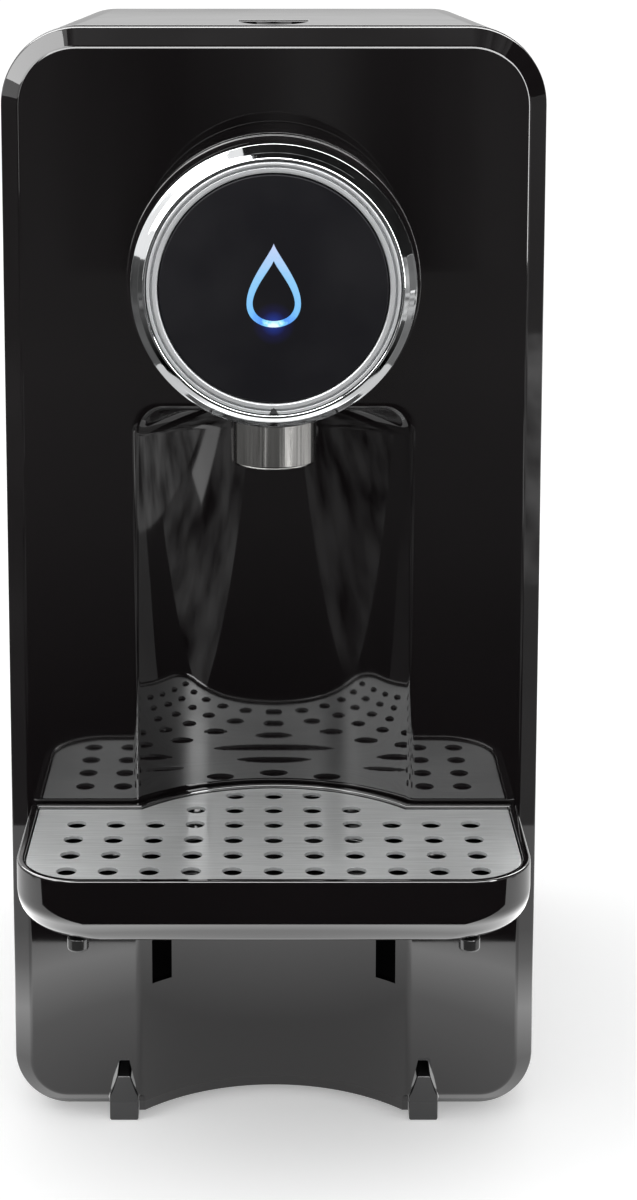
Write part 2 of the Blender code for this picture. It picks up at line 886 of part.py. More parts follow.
def make_shell():
    """The wrap that is both the column's skin and the base's sides."""
    shell = prism(
        "body_shell",
        [body_outline(), body_outline(WALL)],
        SHELL_FRONT_Y,
        BACK_Y,
        "Y",
        GLOSS_BLACK,
    )
    join(shell, scoop_space("scoop_wall", SCOOP_WALL))
    tank_room = box(
        "tank_room",
        (-BODY_WIDTH, COLUMN_BACK_Y, DECK_TOP),
        (BODY_WIDTH, BACK_Y + OVERRUN, BODY_TOP + OVERRUN),
    )
    liner_room = cylinder(
        "liner_room",
        RECESS_RADIUS + WALL + FIT,
        BODY_FLOOR - OVERRUN,
        BODY_FLOOR + BOTTOM_RADIUS,
        (0, RECESS_CENTRE_Y),
        sides=2 * ROUND_SIDES,
    )
    base_opening = box(
        "base_opening",
        (-PLATE_HALF - FIT, PLATE_FRONT_Y - FIT, BODY_FLOOR - OVERRUN),
        (PLATE_HALF + FIT, BACK_Y - PLATE_REAR_GAP + FIT, BODY_FLOOR + WALL + FIT),
    )
    cut(shell, tank_room, liner_room, base_opening)
    boss_low = BODY_FLOOR + WALL + 2 * FIT
    for index, (x, y) in enumerate(screw_places()):
        edge = math.copysign(HALF_WIDTH - BOTTOM_RADIUS / 2, x)
        arm = box(
            f"base_boss_arm_{index + 1}",
            (min(x, edge), y - BOSS_RADIUS / 2, boss_low + 2 * FIT),
            (max(x, edge), y + BOSS_RADIUS / 2, boss_low + BOSS_LONG - 2 * FIT),
        )
        boss = cylinder(
            f"base_boss_{index + 1}",
            BOSS_RADIUS,
            boss_low,
            boss_low + BOSS_LONG,
            (x, y),
            sides=SMALL_SIDES,
        )
        pilot = cylinder(
            f"base_pilot_{index + 1}",
            SCREW_RADIUS + FIT,
            boss_low - OVERRUN,
            boss_low + SCREW_LONG,
            (x, y),
            sides=SCREW_SIDES,
        )
        join(shell, arm, boss)
        cut(shell, pilot)
    boss_rear = cover_face_y() - WALL - FIT
    for index, (x, z) in enumerate(cover_screw_places()):
        edge = math.copysign(HALF_WIDTH - WALL / 2, x)
        arm = box(
            f"cover_boss_arm_{index + 1}",
            (min(x, edge), boss_rear - BOSS_LONG + FIT, z - BOSS_RADIUS / 2),
            (max(x, edge), boss_rear - FIT, z + BOSS_RADIUS / 2),
        )
        boss = cylinder(
            f"cover_boss_{index + 1}",
            BOSS_RADIUS,
            boss_rear - BOSS_LONG,
            boss_rear,
            (x, z),
            "Y",
            sides=SMALL_SIDES,
        )
        pilot = cylinder(
            f"cover_pilot_{index + 1}",
            SCREW_RADIUS + FIT,
            boss_rear - SCREW_LONG,
            boss_rear + OVERRUN,
            (x, z),
            "Y",
            sides=SCREW_SIDES,
        )
        join(shell, arm, boss)
        cut(shell, pilot)
    cut(shell, scoop_space("scoop_space", 0.0))
    return shell


def make_deck():
    """The wall that parts the tank from the works: the column's back and the tank's seat."""
    wall_outline = rounded(
        (-HALF_WIDTH + WALL + FIT, DECK_TOP - WALL),
        (HALF_WIDTH - WALL - FIT, BODY_TOP - WALL - FIT),
        0,
        TOP_RADIUS - WALL - FIT,
    )
    deck = prism(
        "tank_deck",
        [wall_outline],
        COLUMN_BACK_Y - WALL,
        COLUMN_BACK_Y,
        "Y",
        SATIN_BLACK,
    )
    seat = box(
        "deck_seat",
        (-HALF_WIDTH + WALL + FIT, COLUMN_BACK_Y - WALL, DECK_TOP - WALL),
        (HALF_WIDTH - WALL - FIT, BACK_Y, DECK_TOP),
    )
    inset = TANK_WALL + FIT + PAD_MARGIN
    pad = box(
        "deck_pad",
        (-HALF_WIDTH + inset, COLUMN_BACK_Y + inset, DECK_TOP - WALL / 2),
        (HALF_WIDTH - inset, BACK_Y - inset, DECK_TOP + PAD_TALL),
    )
    port = cylinder(
        "deck_port",
        COUPLING_RADIUS - WALL,
        DECK_TOP - OVERRUN,
        DECK_TOP + PAD_TALL + OVERRUN,
        (0, PORT_Y),
        sides=SMALL_SIDES * 2,
    )
    scoop_room = scoop_space("scoop_room", SCOOP_WALL + FIT)
    join(deck, seat, pad)
    return cut(deck, port, scoop_room)


def make_base():
    """The base plate, its screws and the rear rubber feet."""
    plate = box(
        "base_plate",
        (-PLATE_HALF, PLATE_FRONT_Y, BODY_FLOOR),
        (PLATE_HALF, BACK_Y - PLATE_REAR_GAP, BODY_FLOOR + WALL),
        SATIN_BLACK,
    )
    for step in range(VENT_COUNT):
        x = (step - (VENT_COUNT - 1) / 2) * VENT_PITCH
        vent = box(
            f"base_vent_{step + 1}",
            (x - VENT_WIDTH / 2, PORT_Y - VENT_LONG / 2, BODY_FLOOR - OVERRUN),
            (x + VENT_WIDTH / 2, PORT_Y + VENT_LONG / 2, BODY_FLOOR + OVERRUN),
        )
        cut(plate, vent)
    head_top = BODY_FLOOR + SCREW_HEAD_TALL
    for index, (x, y) in enumerate(screw_places()):
        hole = cylinder(
            f"base_screw_hole_{index + 1}",
            SCREW_RADIUS + FIT,
            BODY_FLOOR - OVERRUN,
            BODY_FLOOR + OVERRUN,
            (x, y),
            sides=SMALL_SIDES,
        )
        sink = cylinder(
            f"base_screw_sink_{index + 1}",
            SCREW_HEAD_RADIUS + FIT,
            BODY_FLOOR - OVERRUN,
            head_top + FIT,
            (x, y),
            sides=SMALL_SIDES,
        )
        cut(plate, hole, sink)
        reach = BODY_FLOOR + WALL + SCREW_LONG - FIT
        turned(
            f"base_screw_{index + 1}",
            [
                (SCREW_RADIUS, reach),
                (SCREW_RADIUS, head_top),
                (SCREW_HEAD_RADIUS, head_top),
                (SCREW_HEAD_RADIUS, BODY_FLOOR),
                (0, BODY_FLOOR),
                (0, reach),
            ],
            (x, y, 0),
            recipe=ZINC,
            sides=SCREW_SIDES,
        )
    for side, sign in (("left", -1), ("right", 1)):
        cylinder(
            f"rear_foot_{side}",
            PAD_RADIUS,
            0,
            BODY_FLOOR - FIT,
            (sign * PAD_SPREAD, BACK_Y - PAD_SETBACK),
            recipe=RUBBER,
            sides=SMALL_SIDES * 2,
        )
    return plate


def make_rear_cover():
    """The vented cover behind the works, its screws and the mains gland."""
    outer = cover_face_y()
    inset = WALL + FIT
    outline = rounded(
        (-HALF_WIDTH + inset, BODY_FLOOR + inset),
        (HALF_WIDTH - inset, DECK_TOP - WALL - FIT),
        BOTTOM_RADIUS - inset,
        0,
    )
    cover = prism("rear_cover", [outline], outer - WALL, outer, "Y", SATIN_BLACK)
    middle = (BODY_FLOOR + DECK_TOP) / 2
    for step in range(VENT_COUNT):
        x = (step - (VENT_COUNT - 1) / 2) * VENT_PITCH
        vent = box(
            f"cover_vent_{step + 1}",
            (x - VENT_WIDTH / 2, outer - WALL - OVERRUN, middle - VENT_LONG / 2),
            (x + VENT_WIDTH / 2, outer + OVERRUN, middle + VENT_LONG / 2),
        )
        cut(cover, vent)
    gland_hole = cylinder(
        "gland_hole",
        GLAND_NECK_RADIUS + FIT,
        outer - WALL - OVERRUN,
        outer + OVERRUN,
        (GLAND_X, GLAND_Z),
        "Y",
        sides=SMALL_SIDES * 2,
    )
    cut(cover, gland_hole)
    for index, (x, z) in enumerate(cover_screw_places()):
        hole = cylinder(
            f"cover_screw_hole_{index + 1}",
            SCREW_RADIUS + FIT,
            outer - WALL - OVERRUN,
            outer + OVERRUN,
            (x, z),
            "Y",
            sides=SMALL_SIDES,
        )
        cut(cover, hole)
        reach = -(WALL + SCREW_LONG - FIT)
        turned(
            f"cover_screw_{index + 1}",
            [
                (SCREW_HEAD_RADIUS, -FIT),
                (SCREW_HEAD_RADIUS, -FIT - SCREW_HEAD_TALL),
                (0, -FIT - SCREW_HEAD_TALL),
                (0, -reach),
                (SCREW_RADIUS, -reach),
                (SCREW_RADIUS, -FIT),
            ],
            (x, outer, z),
            "Y",
            ZINC,
            SCREW_SIDES,
        )
    gland_back = -(GLAND_FLANGE + FIT)
    turned(
        "mains_gland",
        [
            (GLAND_RADIUS, -FIT),
            (GLAND_RADIUS, gland_back),
            (GLAND_BORE_RADIUS, gland_back),
            (GLAND_BORE_RADIUS, 2 * WALL),
            (GLAND_NECK_RADIUS, 2 * WALL),
            (GLAND_NECK_RADIUS, -FIT),
        ],
        (GLAND_X, outer, GLAND_Z),
        "Y",
        RUBBER,
        SMALL_SIDES * 2,
    )
    return cover


# Spout housing, dial and button


def post_places():
    """Where the spout screws stand around the dial's axis, across and up."""
    return [
        (
            POST_RING_RADIUS * math.cos(math.radians(angle)),
            DIAL_Z + POST_RING_RADIUS * math.sin(math.radians(angle)),
        )
        for angle in POST_ANGLES
    ]


def dial_centre():
    """The dial's axis where it crosses the panel."""
    return (0, PANEL_Y, DIAL_Z)


def make_spout_housing():
    """The drum on the panel, its screws and posts."""
    drum = turned(
        "spout_housing",
        [
            (DRUM_RADIUS - DRUM_EDGE, DRUM_LONG),
            (DRUM_RADIUS, DRUM_LONG - DRUM_EDGE),
            (DRUM_RADIUS, FIT),
            (DRUM_RADIUS - WALL, FIT),
            (DRUM_RADIUS - WALL, DRUM_LONG - WALL),
            (DIAL_OPENING, DRUM_LONG - WALL),
            (DIAL_OPENING, DRUM_LONG),
        ],
        dial_centre(),
        "Y",
        GLOSS_BLACK,
    )
    for index, (x, z) in enumerate(post_places()):
        post = cylinder(
            f"spout_post_{index + 1}",
            POST_RADIUS,
            forward(POST_LONG),
            forward(FIT),
            (x, z),
            "Y",
            sides=SMALL_SIDES,
        )
        pilot = cylinder(
            f"spout_pilot_{index + 1}",
            SCREW_RADIUS + FIT,
            forward(SCREW_LONG + FIT),
            forward(-OVERRUN),
            (x, z),
            "Y",
            sides=SCREW_SIDES,
        )
        join(drum, post)
        cut(drum, pilot)
        head = -(PANEL_WALL + FIT)
        turned(
            f"spout_screw_{index + 1}",
            [
                (SCREW_RADIUS, SCREW_LONG),
                (SCREW_RADIUS, head),
                (SCREW_HEAD_RADIUS, head),
                (SCREW_HEAD_RADIUS, head - SCREW_HEAD_TALL),
                (0, head - SCREW_HEAD_TALL),
                (0, SCREW_LONG),
            ],
            (x, PANEL_Y, z),
            "Y",
            ZINC,
            SCREW_SIDES,
        )
    nozzle_hole = cylinder(
        "nozzle_hole",
        NOZZLE_RADIUS + FIT,
        DIAL_Z - DRUM_RADIUS - OVERRUN,
        DIAL_Z - DRUM_RADIUS / 2,
        (0, forward(NOZZLE_REACH)),
    )
    return cut(drum, nozzle_hole)


def flange_low():
    """The height at which the nozzle's flange seats on the drum's curved floor."""
    inner = DRUM_RADIUS - WALL
    edge = NOZZLE_RADIUS + NOZZLE_FLANGE
    return DIAL_Z - math.sqrt(inner**2 - edge**2) + FIT


def make_nozzle():
    """The steel nozzle with its barb and the soft outlet inside it."""
    low = flange_low()
    high = low + NOZZLE_FLANGE_TALL
    inner = NOZZLE_RADIUS - NOZZLE_WALL
    barb_top = high + BARB_LONG
    nozzle = turned(
        "nozzle",
        [
            (BARB_RADIUS, barb_top),
            (BARB_RADIUS, high),
            (NOZZLE_RADIUS + NOZZLE_FLANGE, high),
            (NOZZLE_RADIUS + NOZZLE_FLANGE, low),
            (NOZZLE_RADIUS, low),
            (NOZZLE_RADIUS, NOZZLE_LOW + NOZZLE_WALL / 2),
            (NOZZLE_RADIUS - NOZZLE_WALL / 2, NOZZLE_LOW),
            (inner, NOZZLE_LOW),
            (inner, low),
            (BARB_RADIUS / 2, low),
            (BARB_RADIUS / 2, barb_top),
        ],
        (0, forward(NOZZLE_REACH), 0),
        recipe=SATIN_STEEL,
    )
    sleeve = inner - FIT
    outlet = turned(
        "nozzle_outlet",
        [
            (sleeve, low - FIT),
            (sleeve, low - FIT - OUTLET_LONG),
            (OUTLET_RADIUS, low - FIT - OUTLET_LONG),
            (OUTLET_RADIUS, low - FIT),
        ],
        (0, forward(NOZZLE_REACH), 0),
        recipe=SATIN_BLACK,
        sides=SMALL_SIDES * 2,
    )
    return nozzle, outlet


def hub_front():
    """How far forward the hub's collar reaches, clear of the pressed button."""
    return dial_front() - BUTTON_THICK - BUTTON_TRAVEL - FIT


def dial_front():
    """How far forward the dial's face is."""
    return DRUM_LONG + FIT + DIAL_RING_LONG


def make_dial():
    """The hub, the two turning rings, the button with its light guide, and the board."""
    base = DRUM_LONG + FIT
    front = dial_front()
    web_low = base + HUB_FLANGE + FIT
    web_high = web_low + DIAL_WEB
    turned(
        "dial_hub",
        [
            (HUB_RADIUS, hub_front()),
            (HUB_RADIUS, web_high + FIT + HUB_LIP),
            (HUB_RADIUS + HUB_LIP, web_high + FIT + HUB_LIP / 2),
            (HUB_RADIUS + HUB_LIP, web_high + FIT),
            (HUB_RADIUS, web_high + FIT),
            (HUB_RADIUS, base + HUB_FLANGE),
            (HUB_FLANGE_RADIUS, base + HUB_FLANGE),
            (HUB_FLANGE_RADIUS, base),
            (HUB_RADIUS - HUB_WALL, base),
            (HUB_RADIUS - HUB_WALL, hub_front()),
        ],
        dial_centre(),
        "Y",
        SATIN_BLACK,
    )
    lip = DIAL_RING_RADIUS
    groove = FIT * 2
    ring = turned(
        "dial_ring",
        [
            (DIAL_RING_FACE_RADIUS, front),
            (lip - 2 * FIT, base + 3 * DIAL_WEB / 2),
            (lip - 2 * FIT, base + DIAL_WEB),
            (lip - 2 * groove, base + DIAL_WEB),
            (lip - 2 * groove, base + DIAL_WEB / 2),
            (lip, base + DIAL_WEB / 2),
            (lip, base),
            (HUB_FLANGE_RADIUS + 2 * FIT, base),
            (HUB_FLANGE_RADIUS + 2 * FIT, web_low),
            (HUB_RADIUS + FIT, web_low),
            (HUB_RADIUS + FIT, web_high),
            (INDEX_RADIUS + FIT, web_high),
            (INDEX_RADIUS + FIT, front),
        ],
        dial_centre(),
        "Y",
        CHROME,
    )
    index_ring = turned(
        "index_ring",
        [
            (INDEX_RADIUS, front),
            (INDEX_RADIUS, web_high + FIT),
            (INDEX_INNER_RADIUS, web_high + FIT),
            (INDEX_INNER_RADIUS, front),
        ],
        dial_centre(),
        "Y",
        SATIN_STEEL,
    )
    tip = DIAL_Z - INDEX_RADIUS + INDEX_NOTCH
    wide = DIAL_Z - INDEX_RADIUS - OVERRUN
    spread = INDEX_NOTCH + OVERRUN
    notch = prism(
        "index_notch",
        [[(0, tip), (-spread, wide), (spread, wide)]],
        forward(front + OVERRUN),
        forward(front - INDEX_NOTCH),
        "Y",
    )
    cut(index_ring, notch)
    button_back = front - BUTTON_THICK
    stem_back = base + BOARD_THICK + SWITCH_TALL + BUTTON_TRAVEL + FIT
    skirt_radius = HUB_RADIUS - HUB_WALL - FIT
    button = turned(
        "brew_button",
        [
            (BUTTON_RADIUS - FIT, front),
            (BUTTON_RADIUS, front - FIT),
            (BUTTON_RADIUS, button_back),
            (skirt_radius, button_back),
            (skirt_radius, stem_back),
            (skirt_radius - HUB_WALL, stem_back),
            (skirt_radius - HUB_WALL, button_back),
            (BUTTON_STEM_RADIUS, button_back),
            (BUTTON_STEM_RADIUS, stem_back),
            (0, stem_back),
            (0, front),
        ],
        dial_centre(),
        "Y",
        SATIN_BLACK,
    )
    groove_cut = prism(
        "drop_groove",
        drop_loops(FIT),
        forward(front + OVERRUN),
        forward(front - DROP_INLAY - FIT),
        "Y",
    )
    cut(button, groove_cut)
    guide = prism(
        "drop_light_guide",
        drop_loops(0.0),
        forward(front),
        forward(front - DROP_INLAY),
        "Y",
        LAMP,
    )
    board = cylinder(
        "dial_board",
        BOARD_RADIUS,
        forward(base + BOARD_THICK),
        forward(base),
        (0, DIAL_Z),
        "Y",
        BOARD_GREEN,
        SMALL_SIDES * 2,
    )
    half = SWITCH_SIDE / 2
    switch = box(
        "switch_body",
        (-half, forward(base + BOARD_THICK + SWITCH_TALL), DIAL_Z - half),
        (half, forward(base + BOARD_THICK / 2), DIAL_Z + half),
    )
    join(board, switch)
    spring = coil(
        "button_spring",
        SPRING_RADIUS,
        SPRING_WIRE,
        base + BOARD_THICK + SPRING_WIRE + FIT,
        button_back - SPRING_WIRE - FIT,
        SPRING_TURNS,
        ZINC,
    )
    spring.rotation_euler = TURNS["Y"]
    spring.location = dial_centre()
    carry("dial_ring_axis", dial_centre(), ring, index_ring)
    carry("button_axis", dial_centre(), button, guide)


def drop_shape(half, top, bottom):
    """A water drop's outline, pointed at the top, around the dial's centre."""
    reach = (top - bottom) / 2
    middle = (top + bottom) / 2
    widest = max(
        math.sin(step * math.pi / 180) * math.sin(step * math.pi / 360) ** DROP_POWER
        for step in range(180)
    )
    points = []
    for step in range(DROP_STEPS):
        turn = 2 * math.pi * step / DROP_STEPS
        swell = math.sin(turn) * abs(math.sin(turn / 2)) ** DROP_POWER
        points.append(
            (half * swell / widest, DIAL_Z + middle + reach * math.cos(turn))
        )
    return points


def drop_loops(grow):
    """The drop's line as an outer and an inner outline."""
    return [
        drop_shape(DROP_HALF + grow, DROP_RISE + 2 * grow, -DROP_FALL - grow),
        drop_shape(
            DROP_HALF - DROP_LINE - grow,
            DROP_RISE - DROP_TIP_LINE - 2 * grow,
            -DROP_FALL + DROP_LINE + grow,
        ),
    ]


# Drip tray and its carriage


def tray_outline(inset):
    """The tray's plan outline, which follows the panel and swells into the recess."""
    back = PANEL_Y - TRAY_BACK_GAP - inset
    swell = RECESS_RADIUS - TRAY_BACK_GAP - inset
    meet = math.sqrt(swell**2 - (back - RECESS_CENTRE_Y) ** 2)
    half = TRAY_HALF - inset
    front = TRAY_FRONT_Y + inset
    nose = TRAY_CORNER - inset
    tail = max(TRAY_BACK_CORNER - inset, FIT)
    turn = math.degrees(math.atan2(back - RECESS_CENTRE_Y, meet))
    return [
        *arc((half - nose, front + nose), nose, -90, 0),
        *arc((half - tail, back - tail), tail, 0, 90, 2),
        *arc((0, RECESS_CENTRE_Y), swell, turn, 180 - turn, 2 * CORNER_STEPS),
        *arc((-half + tail, back - tail), tail, 90, 180, 2),
        *arc((-half + nose, front + nose), nose, 180, 270),
    ]


def tray_form(name, inset, low, high, edge, recipe=None):
    """The tray's solid form with a round lower edge."""
    rings = []
    for step in range(EDGE_STEPS + 1):
        turn = math.pi / 2 * step / EDGE_STEPS
        drawn = inset + edge * (1 - math.sin(turn))
        height = low + edge * (1 - math.cos(turn))
        rings.append([(x, y, height) for x, y in tray_outline(drawn)])
    rings.append([(x, y, high) for x, y in tray_outline(inset)])
    return loft(name, rings, recipe)


def yoke_low():
    """The lower face of the carriage's yoke."""
    return TONGUE_LOW - YOKE_DROP


def tray_travel():
    """How far the tray can be lowered before its tongues reach the slots' lower ends."""
    return TONGUE_LOW - SLOT_LOW - FIT


def bracket_low():
    """The lower face of the lower rod bracket, under the carriage at its lowest."""
    return yoke_low() - tray_travel() - 2 * FIT - BRACKET_TALL


def drip_hole_places():
    """Where the plate's holes are, in plan, row by row from the front."""
    places = []
    edge = TRAY_WALL + FIT + DRIP_HOLE_RADIUS + LEDGE
    swell = RECESS_RADIUS - TRAY_BACK_GAP - edge
    row = 0
    while True:
        y = TRAY_FRONT_Y + DRIP_FRONT_ROW + row * DRIP_HOLE_PITCH
        reach = TRAY_HALF - edge
        if row >= DRIP_ROWS:
            left_over = swell**2 - (y - RECESS_CENTRE_Y) ** 2
            if left_over <= 0:
                return places
            reach = min(math.sqrt(left_over), reach)
        for step in range(DRIP_HOLES_ACROSS):
            x = (step - (DRIP_HOLES_ACROSS - 1) / 2) * DRIP_HOLE_PITCH
            if abs(x) <= reach:
                places.append((x, y))
        row += 1


def make_tray():
    """The tray, its plate and feet, and the carriage that holds it."""
    tray = tray_form("drip_tray", 0.0, TRAY_LOW, TRAY_TOP, TRAY_EDGE, GLOSS_BLACK)
    seat_z = TRAY_TOP - DRIP_PLATE_SINK - DRIP_PLATE_THICK - FIT
    plate_room = prism(
        "plate_room", [tray_outline(TRAY_WALL)], seat_z, TRAY_TOP + OVERRUN
    )
    basin = tray_form(
        "basin",
        TRAY_WALL + LEDGE,
        TRAY_LOW + WALL,
        seat_z + OVERRUN / 2,
        TRAY_INNER_EDGE,
    )
    cut(tray, plate_room, basin)
    tongue_top = TONGUE_LOW + TONGUE_TALL
    for side, sign in (("left", -1), ("right", 1)):
        x = sign * TONGUE_SPREAD
        half = TONGUE_HALF + FIT
        block = box(
            f"pocket_block_{side}",
            (
                x - half - POCKET_WALL,
                forward(TONGUE_REACH + FIT + POCKET_WALL),
                TRAY_LOW + WALL / 2,
            ),
            (x + half + POCKET_WALL, pocket_back_y(), tongue_top + FIT + POCKET_WALL),
        )
        pocket = box(
            f"pocket_{side}",
            (x - half, forward(TONGUE_REACH + FIT), TONGUE_LOW - FIT),
            (x + half, COLUMN_BACK_Y, tongue_top + FIT),
        )
        join(tray, block)
        cut(tray, pocket)
    holes = [
        circle(place_of_hole, DRIP_HOLE_RADIUS, DRIP_HOLE_SIDES)
        for place_of_hole in drip_hole_places()
    ]
    plate = prism(
        "drip_plate",
        [tray_outline(TRAY_WALL + FIT), *holes],
        seat_z + FIT,
        seat_z + FIT + DRIP_PLATE_THICK,
        recipe=SATIN_STEEL,
    )
    feet = []
    for side, sign in (("left", -1), ("right", 1)):
        low = TRAY_LOW - TRAY_FOOT_LONG
        edge = TRAY_FOOT_RADIUS / 3
        feet.append(
            turned(
                f"tray_foot_{side}",
                [
                    (TRAY_FOOT_RADIUS, TRAY_LOW - FIT),
                    (TRAY_FOOT_RADIUS, low + edge),
                    (TRAY_FOOT_RADIUS - edge, low),
                    (0, low),
                    (0, TRAY_LOW - FIT),
                ],
                (sign * TRAY_FOOT_SPREAD, TRAY_FRONT_Y + TRAY_FOOT_SETBACK, 0),
                recipe=RUBBER,
                sides=SMALL_SIDES,
            )
        )
    carriage = make_carriage()
    top = (0, PANEL_Y, TRAY_TOP)
    lift = carry("tray_height_axis", top, carriage)
    pull = carry("tray_pull_axis", top, tray, *feet)
    raise_plate = carry("drip_plate_axis", top, plate)
    pull.parent = lift
    pull.matrix_parent_inverse = lift.matrix_world.inverted()
    raise_plate.parent = pull
    raise_plate.matrix_parent_inverse = pull.matrix_world.inverted()


def pocket_back_y():
    """Where the pocket blocks end, inside the tray's back wall."""
    swell = RECESS_RADIUS - TRAY_BACK_GAP - TRAY_WALL / 2
    outer = TONGUE_SPREAD + TONGUE_HALF + FIT + POCKET_WALL
    return RECESS_CENTRE_Y + math.sqrt(swell**2 - outer**2)


def make_carriage():
    """The yoke behind the recess wall, with two tongues through the slots, on two rods."""
    inner = RECESS_RADIUS + WALL + 2 * FIT
    outer = inner + YOKE_THICK - FIT
    low = yoke_low()
    yoke = prism(
        "tray_carriage",
        [yoke_outline(inner, outer, YOKE_HALF)],
        low,
        low + YOKE_TALL,
        recipe=SATIN_BLACK,
    )
    root_y = RECESS_CENTRE_Y + math.sqrt(outer**2 - YOKE_HALF**2)
    for side, sign in (("left", -1), ("right", 1)):
        x = sign * TONGUE_SPREAD
        tongue = box(
            f"tongue_{side}",
            (x - TONGUE_HALF, forward(TONGUE_REACH), TONGUE_LOW),
            (x + TONGUE_HALF, root_y, TONGUE_LOW + TONGUE_TALL),
        )
        join(yoke, tongue)
    for side, sign in (("left", -1), ("right", 1)):
        hole = cylinder(
            f"yoke_hole_{side}",
            ROD_RADIUS + 2 * ROD_PLAY,
            low - OVERRUN,
            low + YOKE_TALL + OVERRUN,
            (sign * ROD_SPREAD, rod_y()),
            sides=SMALL_SIDES,
        )
        cut(yoke, hole)
        cylinder(
            f"carriage_rod_{side}",
            ROD_RADIUS,
            bracket_low(),
            low + YOKE_TALL + FIT + BRACKET_TALL,
            (sign * ROD_SPREAD, rod_y()),
            recipe=ZINC,
            sides=SMALL_SIDES,
        )
    return yoke


# Water tank, lid and valve


def lid_seam():
    """The height of the seam between the lid and the tank."""
    return BODY_TOP - TOP_RADIUS - LID_SKIRT


def hinge_y():
    """The Y of the lid's hinge axis."""
    return BACK_Y - TANK_WALL - KNUCKLE_RADIUS - HINGE_GAP


def tank_front_y():
    """The tank's front face, just behind the column."""
    return COLUMN_BACK_Y + FIT


def tank_floor():
    """The lower face of the tank's floor, above its skirt."""
    return DECK_TOP + TANK_FLOOR_RISE


def eye(name, edges, outline):
    """A hinge eye between two x places, from an outline given from the hinge axis."""
    placed = [(hinge_y() + y, lid_seam() + z) for y, z in outline]
    return prism(name, [placed], *edges, "X")


def tank_eye_outline(dip):
    """The tank's hinge eye: a head on a neck that stands clear of the swinging skirt."""
    clear = SKIRT_DROP + HINGE_GAP
    under = -math.sin(math.radians(EYE_TURN)) * KNUCKLE_RADIUS
    foot = -dip - HINGE_GAP
    wall = BACK_Y - TANK_WALL / 2 - hinge_y()
    return [
        (-clear - EYE_NECK, -EYE_DROP),
        (wall, -EYE_DROP),
        (wall, foot),
        (-clear, foot),
        (-clear, under),
        *arc((0, 0), KNUCKLE_RADIUS, EYE_TURN - 180, 90, 2 * CORNER_STEPS),
        (-clear, KNUCKLE_RADIUS),
        (-clear - EYE_NECK, 0),
    ]


def lid_eye_outline():
    """The lid's hinge eye: a head that grows out of the back wall."""
    wall = BACK_Y - WALL / 2 - hinge_y()
    return [
        (wall, 2 * KNUCKLE_RADIUS),
        *arc((0, 0), KNUCKLE_RADIUS, 135, 270, CORNER_STEPS),
        (wall, -KNUCKLE_RADIUS),
    ]


def make_tank():
    """The clear tank with a skirt over the deck's pad, a rear grip and two hinge eyes."""
    low = DECK_TOP + FIT
    seam = lid_seam()
    front = tank_front_y()
    tank = box(
        "water_tank", (-HALF_WIDTH, front, low), (HALF_WIDTH, BACK_Y, seam), SMOKED
    )
    soften(
        tank,
        REAR_EDGE,
        2,
        lambda p: p.y > BACK_Y - FIT and abs(p.x) > HALF_WIDTH - FIT,
    )
    wall = TANK_WALL
    inside = box(
        "tank_inside",
        (-HALF_WIDTH + wall, front + wall, tank_floor() + wall),
        (HALF_WIDTH - wall, BACK_Y - wall, seam + OVERRUN),
    )
    under = box(
        "tank_under",
        (-HALF_WIDTH + wall, front + wall, low - OVERRUN),
        (HALF_WIDTH - wall, BACK_Y - wall, tank_floor()),
    )
    cut(tank, inside, under)
    dip = math.hypot(BACK_Y - hinge_y(), SKIRT_DROP) + FIT
    relief = box(
        "hinge_relief",
        (-BODY_WIDTH, hinge_y() - SKIRT_DROP - HINGE_GAP, seam - dip),
        (BODY_WIDTH, BACK_Y + OVERRUN, seam + OVERRUN),
    )
    cut(tank, relief)
    grip_top = seam - GRIP_BELOW_TOP
    grip_wall = box(
        "grip_wall",
        (
            -GRIP_HALF - GRIP_WALL,
            BACK_Y - GRIP_DEEP - GRIP_WALL,
            grip_top - GRIP_TALL - GRIP_WALL,
        ),
        (GRIP_HALF + GRIP_WALL, BACK_Y - wall / 2, grip_top + GRIP_WALL),
    )
    grip = box(
        "grip_space",
        (-GRIP_HALF, BACK_Y - GRIP_DEEP, grip_top - GRIP_TALL),
        (GRIP_HALF, BACK_Y + OVERRUN, grip_top),
    )
    join(tank, grip_wall)
    cut(tank, grip)
    for side, sign in (("left", -1), ("right", 1)):
        edges = sorted((sign * KNUCKLE_PLACE, sign * (KNUCKLE_PLACE + KNUCKLE_WIDE)))
        join(tank, eye(f"tank_eye_{side}", edges, tank_eye_outline(dip)))
    bore = cylinder(
        "tank_hinge_bore",
        PIN_RADIUS + HINGE_PLAY,
        -HALF_WIDTH + wall + FIT,
        HALF_WIDTH - wall - FIT,
        (hinge_y(), seam),
        "X",
        sides=SMALL_SIDES,
    )
    port = cylinder(
        "tank_port",
        VALVE_NECK_RADIUS + FIT,
        tank_floor() - OVERRUN,
        tank_floor() + wall + OVERRUN,
        (0, PORT_Y),
        sides=SMALL_SIDES * 2,
    )
    return cut(tank, bore, port)


